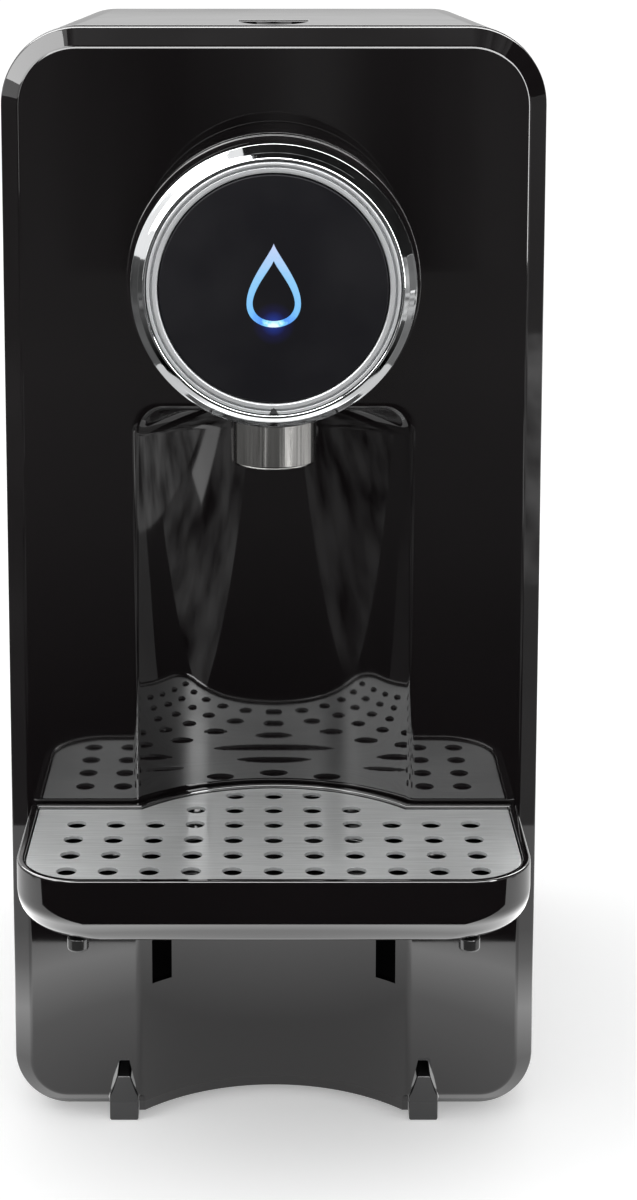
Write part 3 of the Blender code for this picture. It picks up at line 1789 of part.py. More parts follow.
def make_lid():
    """The full-width cap over the tank, with its hinge eyes and a finger slot."""
    seam = lid_seam() + FIT
    front = tank_front_y()
    outline = rounded(
        (-HALF_WIDTH, seam), (HALF_WIDTH, BODY_TOP), 0, TOP_RADIUS
    )
    lid = prism("tank_lid", [outline], front, BACK_Y, "Y", GLOSS_BLACK)
    behind = BACK_Y - hinge_y()
    cheeks = eye(
        "lid_cheeks",
        (-HALF_WIDTH, HALF_WIDTH),
        [
            *arc((0, 0), SKIRT_DROP, 180, 270),
            (behind, -SKIRT_DROP),
            (behind, LID_SKIRT),
            (-SKIRT_DROP, LID_SKIRT),
        ],
    )
    join(lid, cheeks)
    inner = rounded(
        (-HALF_WIDTH + WALL, seam - OVERRUN - SKIRT_DROP),
        (HALF_WIDTH - WALL, BODY_TOP - WALL),
        0,
        TOP_RADIUS - WALL,
    )
    inside = prism("lid_inside", [inner], front + WALL, BACK_Y - WALL, "Y")
    slot = box(
        "finger_slot",
        (-SCOOP_WIDTH / 3, front - OVERRUN, BODY_TOP - SCOOP_DEPTH),
        (SCOOP_WIDTH / 3, front + WALL + OVERRUN, BODY_TOP - WALL - FIT),
    )
    cut(lid, inside, slot)
    for side, sign in (("left", -1), ("right", 1)):
        near = sign * (KNUCKLE_PLACE - FIT)
        edges = sorted((near, near - sign * KNUCKLE_WIDE))
        join(lid, eye(f"lid_eye_{side}", edges, lid_eye_outline()))
    bore = cylinder(
        "lid_hinge_bore",
        PIN_RADIUS + HINGE_PLAY,
        -KNUCKLE_PLACE - OVERRUN,
        KNUCKLE_PLACE + OVERRUN,
        (hinge_y(), lid_seam()),
        "X",
        sides=SMALL_SIDES,
    )
    cut(lid, bore)
    pins = []
    for side, sign in (("left", -1), ("right", 1)):
        middle = sign * KNUCKLE_PLACE
        pins.append(
            cylinder(
                f"lid_hinge_pin_{side}",
                PIN_RADIUS,
                middle - PIN_LONG / 2,
                middle + PIN_LONG / 2,
                (hinge_y(), lid_seam()),
                "X",
                ZINC,
                SMALL_SIDES,
            )
        )
    return lid, pins


def make_valve():
    """The tank's outlet: a seat with a cage, a sprung poppet and a foot seal."""
    floor = tank_floor()
    top = floor + TANK_WALL
    seat = top + FIT
    centre = (0, PORT_Y, 0)
    neck_low = floor - VALVE_NECK_LONG
    valve = turned(
        "tank_valve",
        [
            (VALVE_RADIUS, seat + CAGE_TALL),
            (VALVE_RADIUS, seat),
            (VALVE_NECK_RADIUS, seat),
            (VALVE_NECK_RADIUS, neck_low),
            (VALVE_BORE_RADIUS, neck_low),
            (VALVE_BORE_RADIUS, seat + VALVE_FLANGE),
            (VALVE_RADIUS - CAGE_WALL, seat + VALVE_FLANGE),
            (VALVE_RADIUS - CAGE_WALL, seat + CAGE_TALL - CAGE_WALL),
            (POPPET_STEM_RADIUS + FIT, seat + CAGE_TALL - CAGE_WALL),
            (POPPET_STEM_RADIUS + FIT, seat + CAGE_TALL),
        ],
        centre,
        recipe=SATIN_BLACK,
        sides=SMALL_SIDES * 2,
    )
    for post in range(CAGE_POSTS):
        turn = 2 * math.pi * post / CAGE_POSTS
        window = box(
            f"cage_window_{post + 1}",
            (0, -VALVE_BORE_RADIUS, seat + VALVE_FLANGE + FIT),
            (2 * VALVE_RADIUS, VALVE_BORE_RADIUS, seat + CAGE_TALL - 2 * CAGE_WALL),
        )
        window.data.transform(Matrix.Translation(window.location))
        window.location = centre
        window.rotation_euler = (0, 0, turn)
        cut(valve, window)
    head_low = seat + VALVE_FLANGE + POPPET_LIFT
    head_high = head_low + POPPET_HEAD_TALL
    poppet = turned(
        "valve_poppet",
        [
            (POPPET_STEM_RADIUS, seat + CAGE_TALL + POPPET_LIFT + FIT),
            (POPPET_STEM_RADIUS, head_high),
            (POPPET_HEAD_RADIUS, head_high),
            (POPPET_HEAD_RADIUS, head_low),
            (POPPET_STEM_RADIUS, head_low),
            (POPPET_STEM_RADIUS, coupling_top() + FIT),
            (0, coupling_top() + FIT),
            (0, seat + CAGE_TALL + POPPET_LIFT + FIT),
        ],
        centre,
        recipe=SILICONE,
        sides=SMALL_SIDES,
    )
    spring = coil(
        "valve_spring",
        VALVE_SPRING_RADIUS,
        VALVE_SPRING_WIRE,
        head_high + VALVE_SPRING_WIRE + FIT,
        seat + CAGE_TALL - CAGE_WALL - VALVE_SPRING_WIRE - FIT,
        VALVE_SPRING_TURNS,
        ZINC,
    )
    spring.location = centre
    seal_radius = VALVE_NECK_RADIUS + SEAL_WIRE + FIT
    section = [
        (seal_radius + across, -up) for across, up in circle((0, 0), SEAL_WIRE, SCREW_SIDES)
    ]
    seal_z = floor - SEAL_WIRE - FIT
    seal = turned(
        "tank_seal",
        section,
        (0, PORT_Y, seal_z),
        recipe=SILICONE,
        sides=SMALL_SIDES * 2,
    )
    return valve, poppet, spring, seal


def coupling_top():
    """The top of the pin in the tank coupling, which holds the poppet open."""
    return tank_floor() - VALVE_NECK_LONG + FIT


def make_coupling():
    """The socket in the deck that the tank's outlet stands in."""
    bore = COUPLING_RADIUS - WALL - FIT
    low = DECK_TOP - WALL - COUPLING_STUB_LONG
    pad = DECK_TOP + PAD_TALL
    lip = VALVE_NECK_RADIUS + FIT
    cup = tank_floor() - VALVE_NECK_LONG - WALL / 2
    coupling = turned(
        "tank_coupling",
        [
            (COUPLING_RADIUS, pad + 3 * FIT),
            (COUPLING_RADIUS, pad + FIT),
            (bore, pad + FIT),
            (bore, DECK_TOP - WALL - FIT),
            (COUPLING_STUB_RADIUS, DECK_TOP - WALL - FIT),
            (COUPLING_STUB_RADIUS, low),
            (COUPLING_STUB_RADIUS / 2, low),
            (COUPLING_STUB_RADIUS / 2, cup),
            (lip, cup),
            (lip, pad + 3 * FIT),
        ],
        (0, PORT_Y, 0),
        recipe=SATIN_BLACK,
        sides=SMALL_SIDES * 2,
    )
    reach = 2 * COUPLING_STUB_RADIUS
    half = COUPLING_PIN_RADIUS / 2
    bar = box(
        "coupling_bar",
        (-reach, PORT_Y - half, cup - WALL / 2),
        (reach, PORT_Y + half, cup + COUPLING_PIN_RADIUS / 2),
    )
    pin = cylinder(
        "coupling_pin",
        COUPLING_PIN_RADIUS,
        cup,
        coupling_top(),
        (0, PORT_Y),
        sides=SCREW_SIDES,
    )
    return join(coupling, bar, pin)


def make_tank_group():
    """The tank, its lid and its valve, hung on the axes they move along."""
    tank = make_tank()
    lid, pins = make_lid()
    valve, poppet, spring, seal = make_valve()
    make_coupling()
    lift = carry("tank_axis", (0, PORT_Y, DECK_TOP), tank, *pins, valve, spring, seal)
    hinge = carry("lid_axis", (0, hinge_y(), lid_seam()), lid)
    drop = carry("poppet_axis", (0, PORT_Y, tank_floor()), poppet)
    for axis in (hinge, drop):
        axis.parent = lift
        axis.matrix_parent_inverse = lift.matrix_world.inverted()


# Works


def plate_top():
    """The upper face of the base plate."""
    return BODY_FLOOR + WALL


def pump_z():
    """The height of the pump's axis."""
    return plate_top() + FIT + PUMP_RISE + PUMP_HEAD_RADIUS


def heater_z():
    """The height of the heater's axis."""
    return plate_top() + FIT + HEATER_RISE + HEATER_RADIUS


def make_pump():
    """The pump's motor and head on their feet."""
    z = pump_z()
    low = plate_top() + FIT
    split = PUMP_FRONT_Y + PUMP_MOTOR_LONG
    end = split + FIT + PUMP_HEAD_LONG
    motor = cylinder(
        "pump_motor",
        PUMP_RADIUS,
        PUMP_FRONT_Y,
        split,
        (PUMP_X, z),
        "Y",
        ENGINE_GREY,
        SMALL_SIDES * 2,
    )
    motor_foot = box(
        "pump_motor_foot",
        (PUMP_X - PUMP_RADIUS, PUMP_FRONT_Y + OVERRUN, low),
        (PUMP_X + PUMP_RADIUS, split - OVERRUN, z - PUMP_RADIUS / 2),
    )
    join(motor, motor_foot)
    head = cylinder(
        "pump_head",
        PUMP_HEAD_RADIUS,
        split + FIT,
        end,
        (PUMP_X, z),
        "Y",
        SATIN_BLACK,
        SMALL_SIDES * 2,
    )
    head_foot = box(
        "pump_head_foot",
        (PUMP_X - PUMP_RADIUS, split + FIT * 2, low),
        (PUMP_X + PUMP_RADIUS, end - FIT, z - PUMP_RADIUS / 2),
    )
    inlet = cylinder(
        "pump_inlet",
        STUB_RADIUS,
        end - WALL,
        end + STUB_LONG,
        (PUMP_X, z),
        "Y",
        sides=SMALL_SIDES,
    )
    outlet = cylinder(
        "pump_outlet",
        STUB_RADIUS,
        z + PUMP_HEAD_RADIUS - WALL,
        z + PUMP_HEAD_RADIUS + STUB_LONG,
        (PUMP_X, (split + end) / 2),
        sides=SMALL_SIDES,
    )
    join(head, head_foot, inlet, outlet)
    return (PUMP_X, end + STUB_LONG, z), (
        PUMP_X,
        (split + end) / 2,
        z + PUMP_HEAD_RADIUS + STUB_LONG,
    )


def make_heater():
    """The flow heater on its saddles, with its thermostat and thermal fuse."""
    z = heater_z()
    low = plate_top() + FIT
    end = HEATER_FRONT_Y + HEATER_LONG
    heater = cylinder(
        "flow_heater",
        HEATER_RADIUS,
        HEATER_FRONT_Y,
        end,
        (HEATER_X, z),
        "Y",
        ALUMINIUM,
        SMALL_SIDES * 2,
    )
    for index, y in enumerate((HEATER_FRONT_Y, end - SADDLE_THICK)):
        inward = FIT if index == 0 else -FIT
        saddle = box(
            f"heater_saddle_{index + 1}",
            (HEATER_X - HEATER_RADIUS, y + inward, low),
            (HEATER_X + HEATER_RADIUS, y + SADDLE_THICK + inward, z - HEATER_RADIUS / 2),
        )
        join(heater, saddle)
    for name, start, stop in (
        ("heater_outlet", HEATER_FRONT_Y - STUB_LONG, HEATER_FRONT_Y + WALL),
        ("heater_inlet", end - WALL, end + STUB_LONG),
    ):
        stub = cylinder(
            name, STUB_RADIUS, start, stop, (HEATER_X, z), "Y", sides=SMALL_SIDES
        )
        join(heater, stub)
    top = z + HEATER_RADIUS
    cylinder(
        "thermostat",
        CUTOUT_RADIUS,
        top + FIT,
        top + FIT + CUTOUT_TALL,
        (HEATER_X, HEATER_FRONT_Y + HEATER_LONG / 3),
        recipe=SATIN_BLACK,
        sides=SMALL_SIDES,
    )
    fuse_y = HEATER_FRONT_Y + HEATER_LONG * 2 / 3
    cylinder(
        "thermal_fuse",
        FUSE_RADIUS,
        fuse_y - FUSE_LONG / 2,
        fuse_y + FUSE_LONG / 2,
        (HEATER_X, top + FIT + FUSE_RADIUS),
        "Y",
        SILICONE,
        SCREW_SIDES,
    )
    return (HEATER_X, end + STUB_LONG, z), (HEATER_X, HEATER_FRONT_Y - STUB_LONG, z)


def make_hoses(pump_in, pump_out, heater_in, heater_out):
    """Three hoses: tank to pump, pump to heater, heater to nozzle."""
    lap = HOSE_LAP
    bend = 2 * HOSE_RADIUS
    port_low = DECK_TOP - WALL - COUPLING_STUB_LONG
    rear_y = max(pump_in[1], heater_in[1]) + bend
    hose(
        "hose_tank_to_pump",
        [
            (0, PORT_Y, port_low - lap),
            (0, PORT_Y, port_low - bend),
            (pump_in[0] / 2, (PORT_Y + rear_y) / 2, port_low - 2 * bend),
            (pump_in[0], rear_y, (port_low + pump_in[2]) / 2),
            (pump_in[0], pump_in[1] + bend, pump_in[2]),
            (pump_in[0], pump_in[1] + lap, pump_in[2]),
        ],
        HOSE_RADIUS,
        SILICONE,
    )
    hose(
        "hose_pump_to_heater",
        [
            (pump_out[0], pump_out[1], pump_out[2] + lap),
            (pump_out[0], pump_out[1], pump_out[2] + bend),
            (0, (pump_out[1] + rear_y) / 2, pump_out[2] + bend),
            (heater_in[0], rear_y, heater_in[2] + 2 * bend),
            (heater_in[0], heater_in[1] + bend, heater_in[2]),
            (heater_in[0], heater_in[1] + lap, heater_in[2]),
        ],
        HOSE_RADIUS,
        SILICONE,
    )
    column_y = COLUMN_BACK_Y - WALL - 2 * HOSE_RADIUS
    side_x = -YOKE_HALF - 2 * bend
    barb_top = flange_low() + NOZZLE_FLANGE_TALL + BARB_LONG
    nozzle_y = forward(NOZZLE_REACH)
    hose(
        "hose_heater_to_spout",
        [
            (heater_out[0], heater_out[1] - lap, heater_out[2]),
            (heater_out[0], heater_out[1] - bend, heater_out[2]),
            (side_x, column_y, heater_out[2] + 2 * bend),
            (side_x, column_y, DECK_TOP + 2 * bend),
            (side_x, column_y, RECESS_TOP),
            (side_x / 2, column_y, DIAL_Z - bend / 2),
            (0, PANEL_Y + FASCIA_DEPTH, DIAL_Z),
            (0, PANEL_Y - bend, DIAL_Z),
            (0, nozzle_y + bend, barb_top + 2 * bend),
            (0, nozzle_y, barb_top + bend),
            (0, nozzle_y, barb_top + lap),
        ],
        HOSE_RADIUS,
        SILICONE,
    )


def make_power_board():
    """The power board on standoffs behind the panel, with a relay and a heat sink."""
    rear = COLUMN_BACK_Y - WALL - FIT
    face = rear - BOARD_STANDOFF
    front = face - BOARD_THICK
    high = BOARD_LOW + BOARD_TALL
    board = box(
        "power_board",
        (BOARD_X - BOARD_HALF, front, BOARD_LOW),
        (BOARD_X + BOARD_HALF, face, high),
        BOARD_GREEN,
    )
    for sx in (-1, 1):
        for z in (BOARD_LOW + BOSS_RADIUS, high - BOSS_RADIUS):
            post = cylinder(
                f"board_post_{sx}_{z:.3f}",
                BOSS_RADIUS / 2,
                face - FIT,
                rear,
                (BOARD_X + sx * (BOARD_HALF - BOSS_RADIUS), z),
                "Y",
                sides=SCREW_SIDES,
            )
            join(board, post)
    relay = box(
        "relay",
        (BOARD_X - BOARD_HALF + WALL, front - RELAY_DEEP, BOARD_LOW + WALL),
        (
            BOARD_X - BOARD_HALF + WALL + RELAY_WIDE,
            front + FIT,
            BOARD_LOW + WALL + RELAY_TALL,
        ),
    )
    join(board, relay)
    left = BOARD_X + BOARD_HALF - WALL - SINK_WIDE
    pitch = SINK_WIDE / (2 * SINK_FINS - 1)
    deep = front - FIT - SINK_DEEP
    teeth = [(left, front - FIT - WALL)]
    for fin in range(SINK_FINS):
        near = left + 2 * fin * pitch
        teeth += [(near, deep), (near + pitch, deep)]
        if fin < SINK_FINS - 1:
            teeth += [
                (near + pitch, front - FIT - WALL),
                (near + 2 * pitch, front - FIT - WALL),
            ]
    teeth += [(left + SINK_WIDE, front - FIT), (left, front - FIT)]
    prism(
        "board_heat_sink",
        [teeth[1:]],
        high - WALL - SINK_TALL,
        high - WALL,
        recipe=ALUMINIUM,
    )


def main():
    """Build the whole object."""
    make_fascia()
    make_front_feet()
    make_shell()
    make_deck()
    make_base()
    make_rear_cover()
    make_spout_housing()
    make_nozzle()
    make_dial()
    make_tray()
    make_tank_group()
    pump_in, pump_out = make_pump()
    heater_in, heater_out = make_heater()
    make_hoses(pump_in, pump_out, heater_in, heater_out)
    make_power_board()
    bpy.context.view_layer.update()


main()
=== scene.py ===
"""Dressed model of a tall instant hot water dispenser.

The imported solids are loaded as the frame. Each sub-assembly below is a class that
models its visible pieces by hand-style steps and gives them their finish. All
lengths are in metres, +Z is up and the front faces -Y.
"""

import logging
import math
from contextlib import contextmanager
from dataclasses import dataclass, field
from enum import Enum
from typing import Callable, Iterator, Sequence

import bmesh
import bpy
from mathutils import Matrix, Vector

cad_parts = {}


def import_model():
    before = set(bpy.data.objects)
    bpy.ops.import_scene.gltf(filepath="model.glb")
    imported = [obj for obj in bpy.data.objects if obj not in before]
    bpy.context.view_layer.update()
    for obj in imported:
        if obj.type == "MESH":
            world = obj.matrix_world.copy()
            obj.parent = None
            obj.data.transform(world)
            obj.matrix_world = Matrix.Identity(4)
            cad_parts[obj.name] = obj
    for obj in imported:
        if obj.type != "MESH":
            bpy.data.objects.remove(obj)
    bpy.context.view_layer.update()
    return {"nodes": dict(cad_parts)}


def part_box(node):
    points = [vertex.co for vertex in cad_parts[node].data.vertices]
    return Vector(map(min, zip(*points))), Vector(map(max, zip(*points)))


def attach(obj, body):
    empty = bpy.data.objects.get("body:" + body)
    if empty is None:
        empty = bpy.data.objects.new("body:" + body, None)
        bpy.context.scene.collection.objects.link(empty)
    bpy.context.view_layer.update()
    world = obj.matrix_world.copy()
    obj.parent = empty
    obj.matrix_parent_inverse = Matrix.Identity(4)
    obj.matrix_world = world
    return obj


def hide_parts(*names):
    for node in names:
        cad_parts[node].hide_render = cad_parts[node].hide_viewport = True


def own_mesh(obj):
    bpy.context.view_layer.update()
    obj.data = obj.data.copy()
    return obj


LOG = logging.getLogger("dispenser")
NEAR = 1e-5  # two places this close count as one
NEARLY = 0.98  # of a full rounding, so that two arcs never meet
Point = tuple[float, float]
Place = tuple[float, float, float]
Rgb = tuple[float, float, float]
Piece = bpy.types.Object
Socket = bpy.types.NodeSocket
Material = bpy.types.Material
ROUND_Y: Place = (1.0, 0.0, 1.0)  # keeps X and Z, for a distance from a line along Y


class Axis(Enum):
    """A direction of the row frame, with the turn that lays a primitive's +Z on it."""

    X = ((1.0, 0.0, 0.0), (0.0, math.pi / 2, 0.0))
    Y = ((0.0, 1.0, 0.0), (-math.pi / 2, 0.0, 0.0))
    Z = ((0.0, 0.0, 1.0), (0.0, 0.0, 0.0))
    FRONT = ((0.0, -1.0, 0.0), (math.pi / 2, 0.0, 0.0))

    @property
    def way(self) -> Vector:
        """The unit vector along the axis."""
        return Vector(self.value[0])

    @property
    def turn(self) -> Place:
        """The Euler turn of a primitive that is added along the axis."""
        return self.value[1]


class Pick(Enum):
    """What an edit-mode choice selects."""

    VERT = "VERT"
    EDGE = "EDGE"
    FACE = "FACE"


class Blend(Enum):
    """How one solid is combined with another."""

    CUT = "DIFFERENCE"
    JOIN = "UNION"
    SHARE = "INTERSECT"


class Ends(Enum):
    """How a turned form is closed."""

    CAPS = "caps"
    LOOP = "loop"


# Modelling steps


def relax() -> None:
    """Leave edit mode and deselect everything."""
    if bpy.context.object and bpy.context.object.mode != "OBJECT":
        bpy.ops.object.mode_set(mode="OBJECT")
    bpy.ops.object.select_all(action="DESELECT")


def only(piece: Piece) -> None:
    """Make a piece the only selected and the active object.

    Args:
        piece: The piece.
    """
    relax()
    piece.select_set(True)
    bpy.context.view_layer.objects.active = piece


@contextmanager
def editing(piece: Piece) -> Iterator[None]:
    """Edit a piece's mesh with nothing else selected, and leave edit mode after.

    Args:
        piece: The piece.

    Yields:
        Nothing. Edit mode lasts as long as the with block.
    """
    only(piece)
    bpy.ops.object.mode_set(mode="EDIT")
    yield
    bpy.ops.object.mode_set(mode="OBJECT")


def choose(piece: Piece, pick: Pick, test: Callable[..., bool]) -> None:
    """Select in edit mode the elements that pass a test.

    Args:
        piece: The object in edit mode.
        pick: The kind of element.
        test: Takes a vertex's place, an edge's two places and its face angle, or a
            face's middle and its normal.
    """
    bpy.ops.mesh.select_mode(type=pick.value)
    bpy.ops.mesh.select_all(action="DESELECT")
    shape = bmesh.from_edit_mesh(piece.data)
    if pick is Pick.VERT:
        chosen = [vert for vert in shape.verts if test(vert.co)]
    elif pick is Pick.EDGE:
        chosen = [
            edge
            for edge in shape.edges
            if test(edge.verts[0].co, edge.verts[1].co, edge.calc_face_angle(math.pi))
        ]
    else:
        chosen = [face for face in shape.faces if test(face.calc_center_median(), face.normal)]
    for element in chosen:
        element.select_set(True)
    shape.select_flush_mode()
    bmesh.update_edit_mesh(piece.data)


def choose_all(pick: Pick | None = None) -> None:
    """Select the whole mesh in edit mode.

    Args:
        pick: The kind of element to select by, or None to keep the kind.
    """
    if pick:
        bpy.ops.mesh.select_mode(type=pick.value)
    bpy.ops.mesh.select_all(action="SELECT")


def extrude(move: Place | Vector) -> None:
    """Extrude what is selected in edit mode."""
    bpy.ops.mesh.extrude_region_move(TRANSFORM_OT_translate={"value": move})


def resize(value: Sequence[float], centre: Sequence[float]) -> None:
    """Scale what is selected in edit mode about a place."""
    bpy.ops.transform.resize(value=value, center_override=centre)


def face_out() -> None:
    """Turn every face of the mesh in edit mode outwards."""
    choose_all()
    bpy.ops.mesh.normals_make_consistent(inside=False)


def named(name: str) -> Piece:
    """Name the primitive that was just added and put its place into its mesh.

    Args:
        name: The name of the object and of its mesh.

    Returns:
        The primitive.
    """
    piece = bpy.context.object
    piece.name = name
    piece.data.name = name
    bpy.ops.object.transform_apply(location=True, rotation=True, scale=True)
    return piece


def apply(piece: Piece, kind: str, **settings: object) -> None:
    """Add one modifier with its settings and apply it.

    Args:
        piece: The piece.
        kind: The modifier's type.
        **settings: Its settings by name.
    """
    only(piece)
    modifier = piece.modifiers.new(kind.lower(), kind)
    for key, value in settings.items():
        setattr(modifier, key, value)
    bpy.ops.object.modifier_apply(modifier=modifier.name)


def combine(piece: Piece, how: Blend, *others: Piece) -> Piece:
    """Cut, join or share a solid with others, which are used up.

    Args:
        piece: The solid that is kept.
        how: What the others do to it.
        *others: The other solids, in order.

    Returns:
        The solid.
    """
    for other in others:
        apply(piece, "BOOLEAN", operation=how.value, solver="EXACT", object=other)
        mesh = other.data
        bpy.data.objects.remove(other)
        bpy.data.meshes.remove(mesh)
    return piece


def soften(piece: Piece, width: float, steps: int, angle: float = 30.0) -> None:
    """Round every edge that is sharper than an angle.

    Args:
        piece: The solid.
        width: How far the rounding reaches from an edge.
        steps: How many faces the rounding has across.
        angle: The angle in degrees.
    """
    apply(
        piece,
        "BEVEL",
        width=width,
        segments=steps,
        limit_method="ANGLE",
        angle_limit=math.radians(angle),
        use_clamp_overlap=True,
        harden_normals=False,
    )


def smooth(piece: Piece, angle: float) -> None:
    """Shade a piece smooth, with flat faces kept flat by their area.

    Args:
        piece: The piece.
        angle: The angle in degrees past which an edge stays sharp.
    """
    only(piece)
    bpy.ops.object.shade_smooth_by_angle(angle=math.radians(angle))
    apply(piece, "WEIGHTED_NORMAL", mode="FACE_AREA", weight=100, keep_sharp=True)


def plate(name: str, low: Point, high: Point, at: float) -> Piece:
    """Add a flat rectangular face that looks to the front.

    Args:
        name: The piece's name.
        low: The lower corner, across and up.
        high: The upper corner.
        at: The face's Y.

    Returns:
        The new object.
    """
    relax()
    place = ((low[0] + high[0]) / 2, at, (low[1] + high[1]) / 2)
    bpy.ops.mesh.primitive_plane_add(size=1.0, location=place, rotation=Axis.FRONT.turn)
    piece = named(name)
    with editing(piece):
        choose_all()
        resize((high[0] - low[0], 1.0, high[1] - low[1]), place)
    return piece


def round_corners(
    piece: Piece, radius: float, steps: int, test: Callable[[Vector], bool]
) -> None:
    """Round the chosen corners of a flat face.

    Args:
        piece: The flat piece.
        radius: The radius of the rounding.
        steps: How many sides the rounding has.
        test: Takes a corner's place.
    """
    with editing(piece):
        choose(piece, Pick.VERT, test)
        bpy.ops.mesh.bevel(offset=radius, segments=steps, profile=0.5, affect="VERTICES")


def round_edges(piece: Piece, width: float, steps: int, test: Callable[..., bool]) -> None:
    """Round the chosen edges of a solid.

    Args:
        piece: The solid.
        width: How far the rounding reaches from an edge.
        steps: How many faces the rounding has across.
        test: Takes an edge's two places and its face angle.
    """
    with editing(piece):
        choose(piece, Pick.EDGE, test)
        bpy.ops.mesh.bevel(offset=width, segments=steps, profile=0.5, affect="EDGES")


def stretch(piece: Piece, move: Place) -> None:
    """Extrude the face of a flat piece into a solid.

    Args:
        piece: The flat piece.
        move: How far its face goes along X, Y and Z.
    """
    with editing(piece):
        choose_all()
        extrude(move)
        face_out()


def block(name: str, low: Place, high: Place) -> Piece:
    """A rectangular solid between two corners, extruded from a plate.

    Args:
        name: The piece's name.
        low: The corner with the lowest values.
        high: The corner with the highest values.

    Returns:
        The new object.
    """
    piece = plate(name, (low[0], low[2]), (high[0], high[2]), high[1])
    stretch(piece, (0.0, low[1] - high[1], 0.0))
    return piece


def rod(name: str, radius: float, start: Place, end: Place, sides: int = 48) -> Piece:
    """A round solid between two places, extruded from a filled circle.

    Args:
        name: The piece's name.
        radius: Its radius.
        start: The middle of its first end.
        end: The middle of its other end.
        sides: How many sides it has.

    Returns:
        The new object.
    """
    relax()
    first, last = Vector(start), Vector(end)
    turn = (last - first).to_track_quat("Z", "Y").to_euler()
    bpy.ops.mesh.primitive_circle_add(
        vertices=sides, radius=radius, fill_type="NGON", location=first, rotation=turn
    )
    piece = named(name)
    stretch(piece, tuple(last - first))
    return piece


def upright(name: str) -> tuple[Place, float, float, float]:
    """Where an upright round solid of the frame stands.

    Args:
        name: The solid's name.

    Returns:
        A point on its axis at the table, its radius, and the heights of its foot and top.
    """
    low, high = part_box(name)
    centre = ((low.x + high.x) / 2, (low.y + high.y) / 2, 0.0)
    return centre, (high.x - low.x) / 2, low.z, high.z


def turned(
    name: str,
    profile: Sequence[Point],
    centre: Place,
    axis: Axis,
    sides: int = 96,
    ends: Ends = Ends.CAPS,
) -> Piece:
    """Turn a profile: a circle is extruded and resized from station to station.

    Args:
        name: The piece's name.
        profile: Radius and place along the axis of each station.
        centre: A point on the axis where the places along it start.
        axis: The axis of the turned form.
        sides: How many sides each circle has.
        ends: Whether the first and last circles are filled or joined.

    Returns:
        The new object.
    """
    relax()
    start = Vector(centre)
    radius, along = profile[0]
    bpy.ops.mesh.primitive_circle_add(
        vertices=sides,
        radius=radius,
        fill_type="NOTHING",
        location=start + axis.way * along,
        rotation=axis.turn,
    )
    piece = named(name)
    with editing(piece):
        choose_all(Pick.EDGE)
        for next_radius, next_along in profile[1:]:
            extrude(axis.way * (next_along - along))
            share = next_radius / radius
            resize((share, share, share), start + axis.way * next_along)
            radius, along = next_radius, next_along
        bpy.ops.mesh.select_all(action="DESELECT")
        bpy.ops.mesh.select_non_manifold(extend=False)
        if ends is Ends.LOOP:
            bpy.ops.mesh.bridge_edge_loops()
        else:
            bpy.ops.mesh.fill_holes(sides=0)
        face_out()
    return piece


def rounded_path(points: Sequence[Point], radius: float) -> list[Point]:
    """Round every inner corner of an open profile by an arc of about a radius.

    Args:
        points: The profile's corners.
        radius: How far an arc starts from its corner, where the sides are long enough.

    Returns:
        The rounded profile.
    """
    steps, most = 4, 0.45
    path = [points[0]]
    for before, here, after in zip(points, points[1:], points[2:]):
        a, b, c = Vector(before), Vector(here), Vector(after)
        back, ahead = a - b, c - b
        reach = min(radius, back.length * most, ahead.length * most)
        start, end = b + back.normalized() * reach, b + ahead.normalized() * reach
        for step in range(steps + 1):
            t = step / steps
            spot = start.lerp(b, t).lerp(b.lerp(end, t), t)
            path.append((spot.x, spot.y))
    path.append(points[-1])
    return path


def loft(name: str, rings: Sequence[Sequence[Place]]) -> Piece:
    """Skin equal rings of points, with the first and the last ring filled.

    Args:
        name: The piece's name.
        rings: The rings in order, all with the same number of points.

    Returns:
        The new object.
    """
    shape = bmesh.new()
    rows = [[shape.verts.new(point) for point in ring] for ring in rings]
    count = len(rows[0])
    for near, far in zip(rows, rows[1:]):
        for step in range(count):
            after = (step + 1) % count
            shape.faces.new((near[step], near[after], far[after], far[step]))
    shape.faces.new(rows[0])
    shape.faces.new(rows[-1])
    bmesh.ops.recalc_face_normals(shape, faces=shape.faces)
    mesh = bpy.data.meshes.new(name)
    shape.to_mesh(mesh)
    shape.free()
    piece = bpy.data.objects.new(name, mesh)
    bpy.context.scene.collection.objects.link(piece)
    return piece


def arc(centre: Point, radius: float, start: float, end: float, steps: int) -> list[Point]:
    """Points on an arc between two angles.

    Args:
        centre: The arc's centre.
        radius: Its radius.
        start: Where it starts, in degrees.
        end: Where it ends, in degrees.
        steps: How many sides it has.

    Returns:
        The points, one more than the sides.
    """
    turns = [math.radians(start + (end - start) * step / steps) for step in range(steps + 1)]
    return [(centre[0] + radius * math.cos(t), centre[1] + radius * math.sin(t)) for t in turns]


def copied(piece: Piece, name: str, move: Place) -> Piece:
    """A copy of a piece with its own mesh, moved to its place.

    Args:
        piece: The piece to copy.
        name: The copy's name.
        move: How far the copy is moved.

    Returns:
        The copy.
    """
    twin = piece.copy()
    twin.data = piece.data.copy()
    twin.name = name
    twin.data.name = name
    twin.data.transform(Matrix.Translation(move))
    bpy.context.scene.collection.objects.link(twin)
    return twin


# Finishes


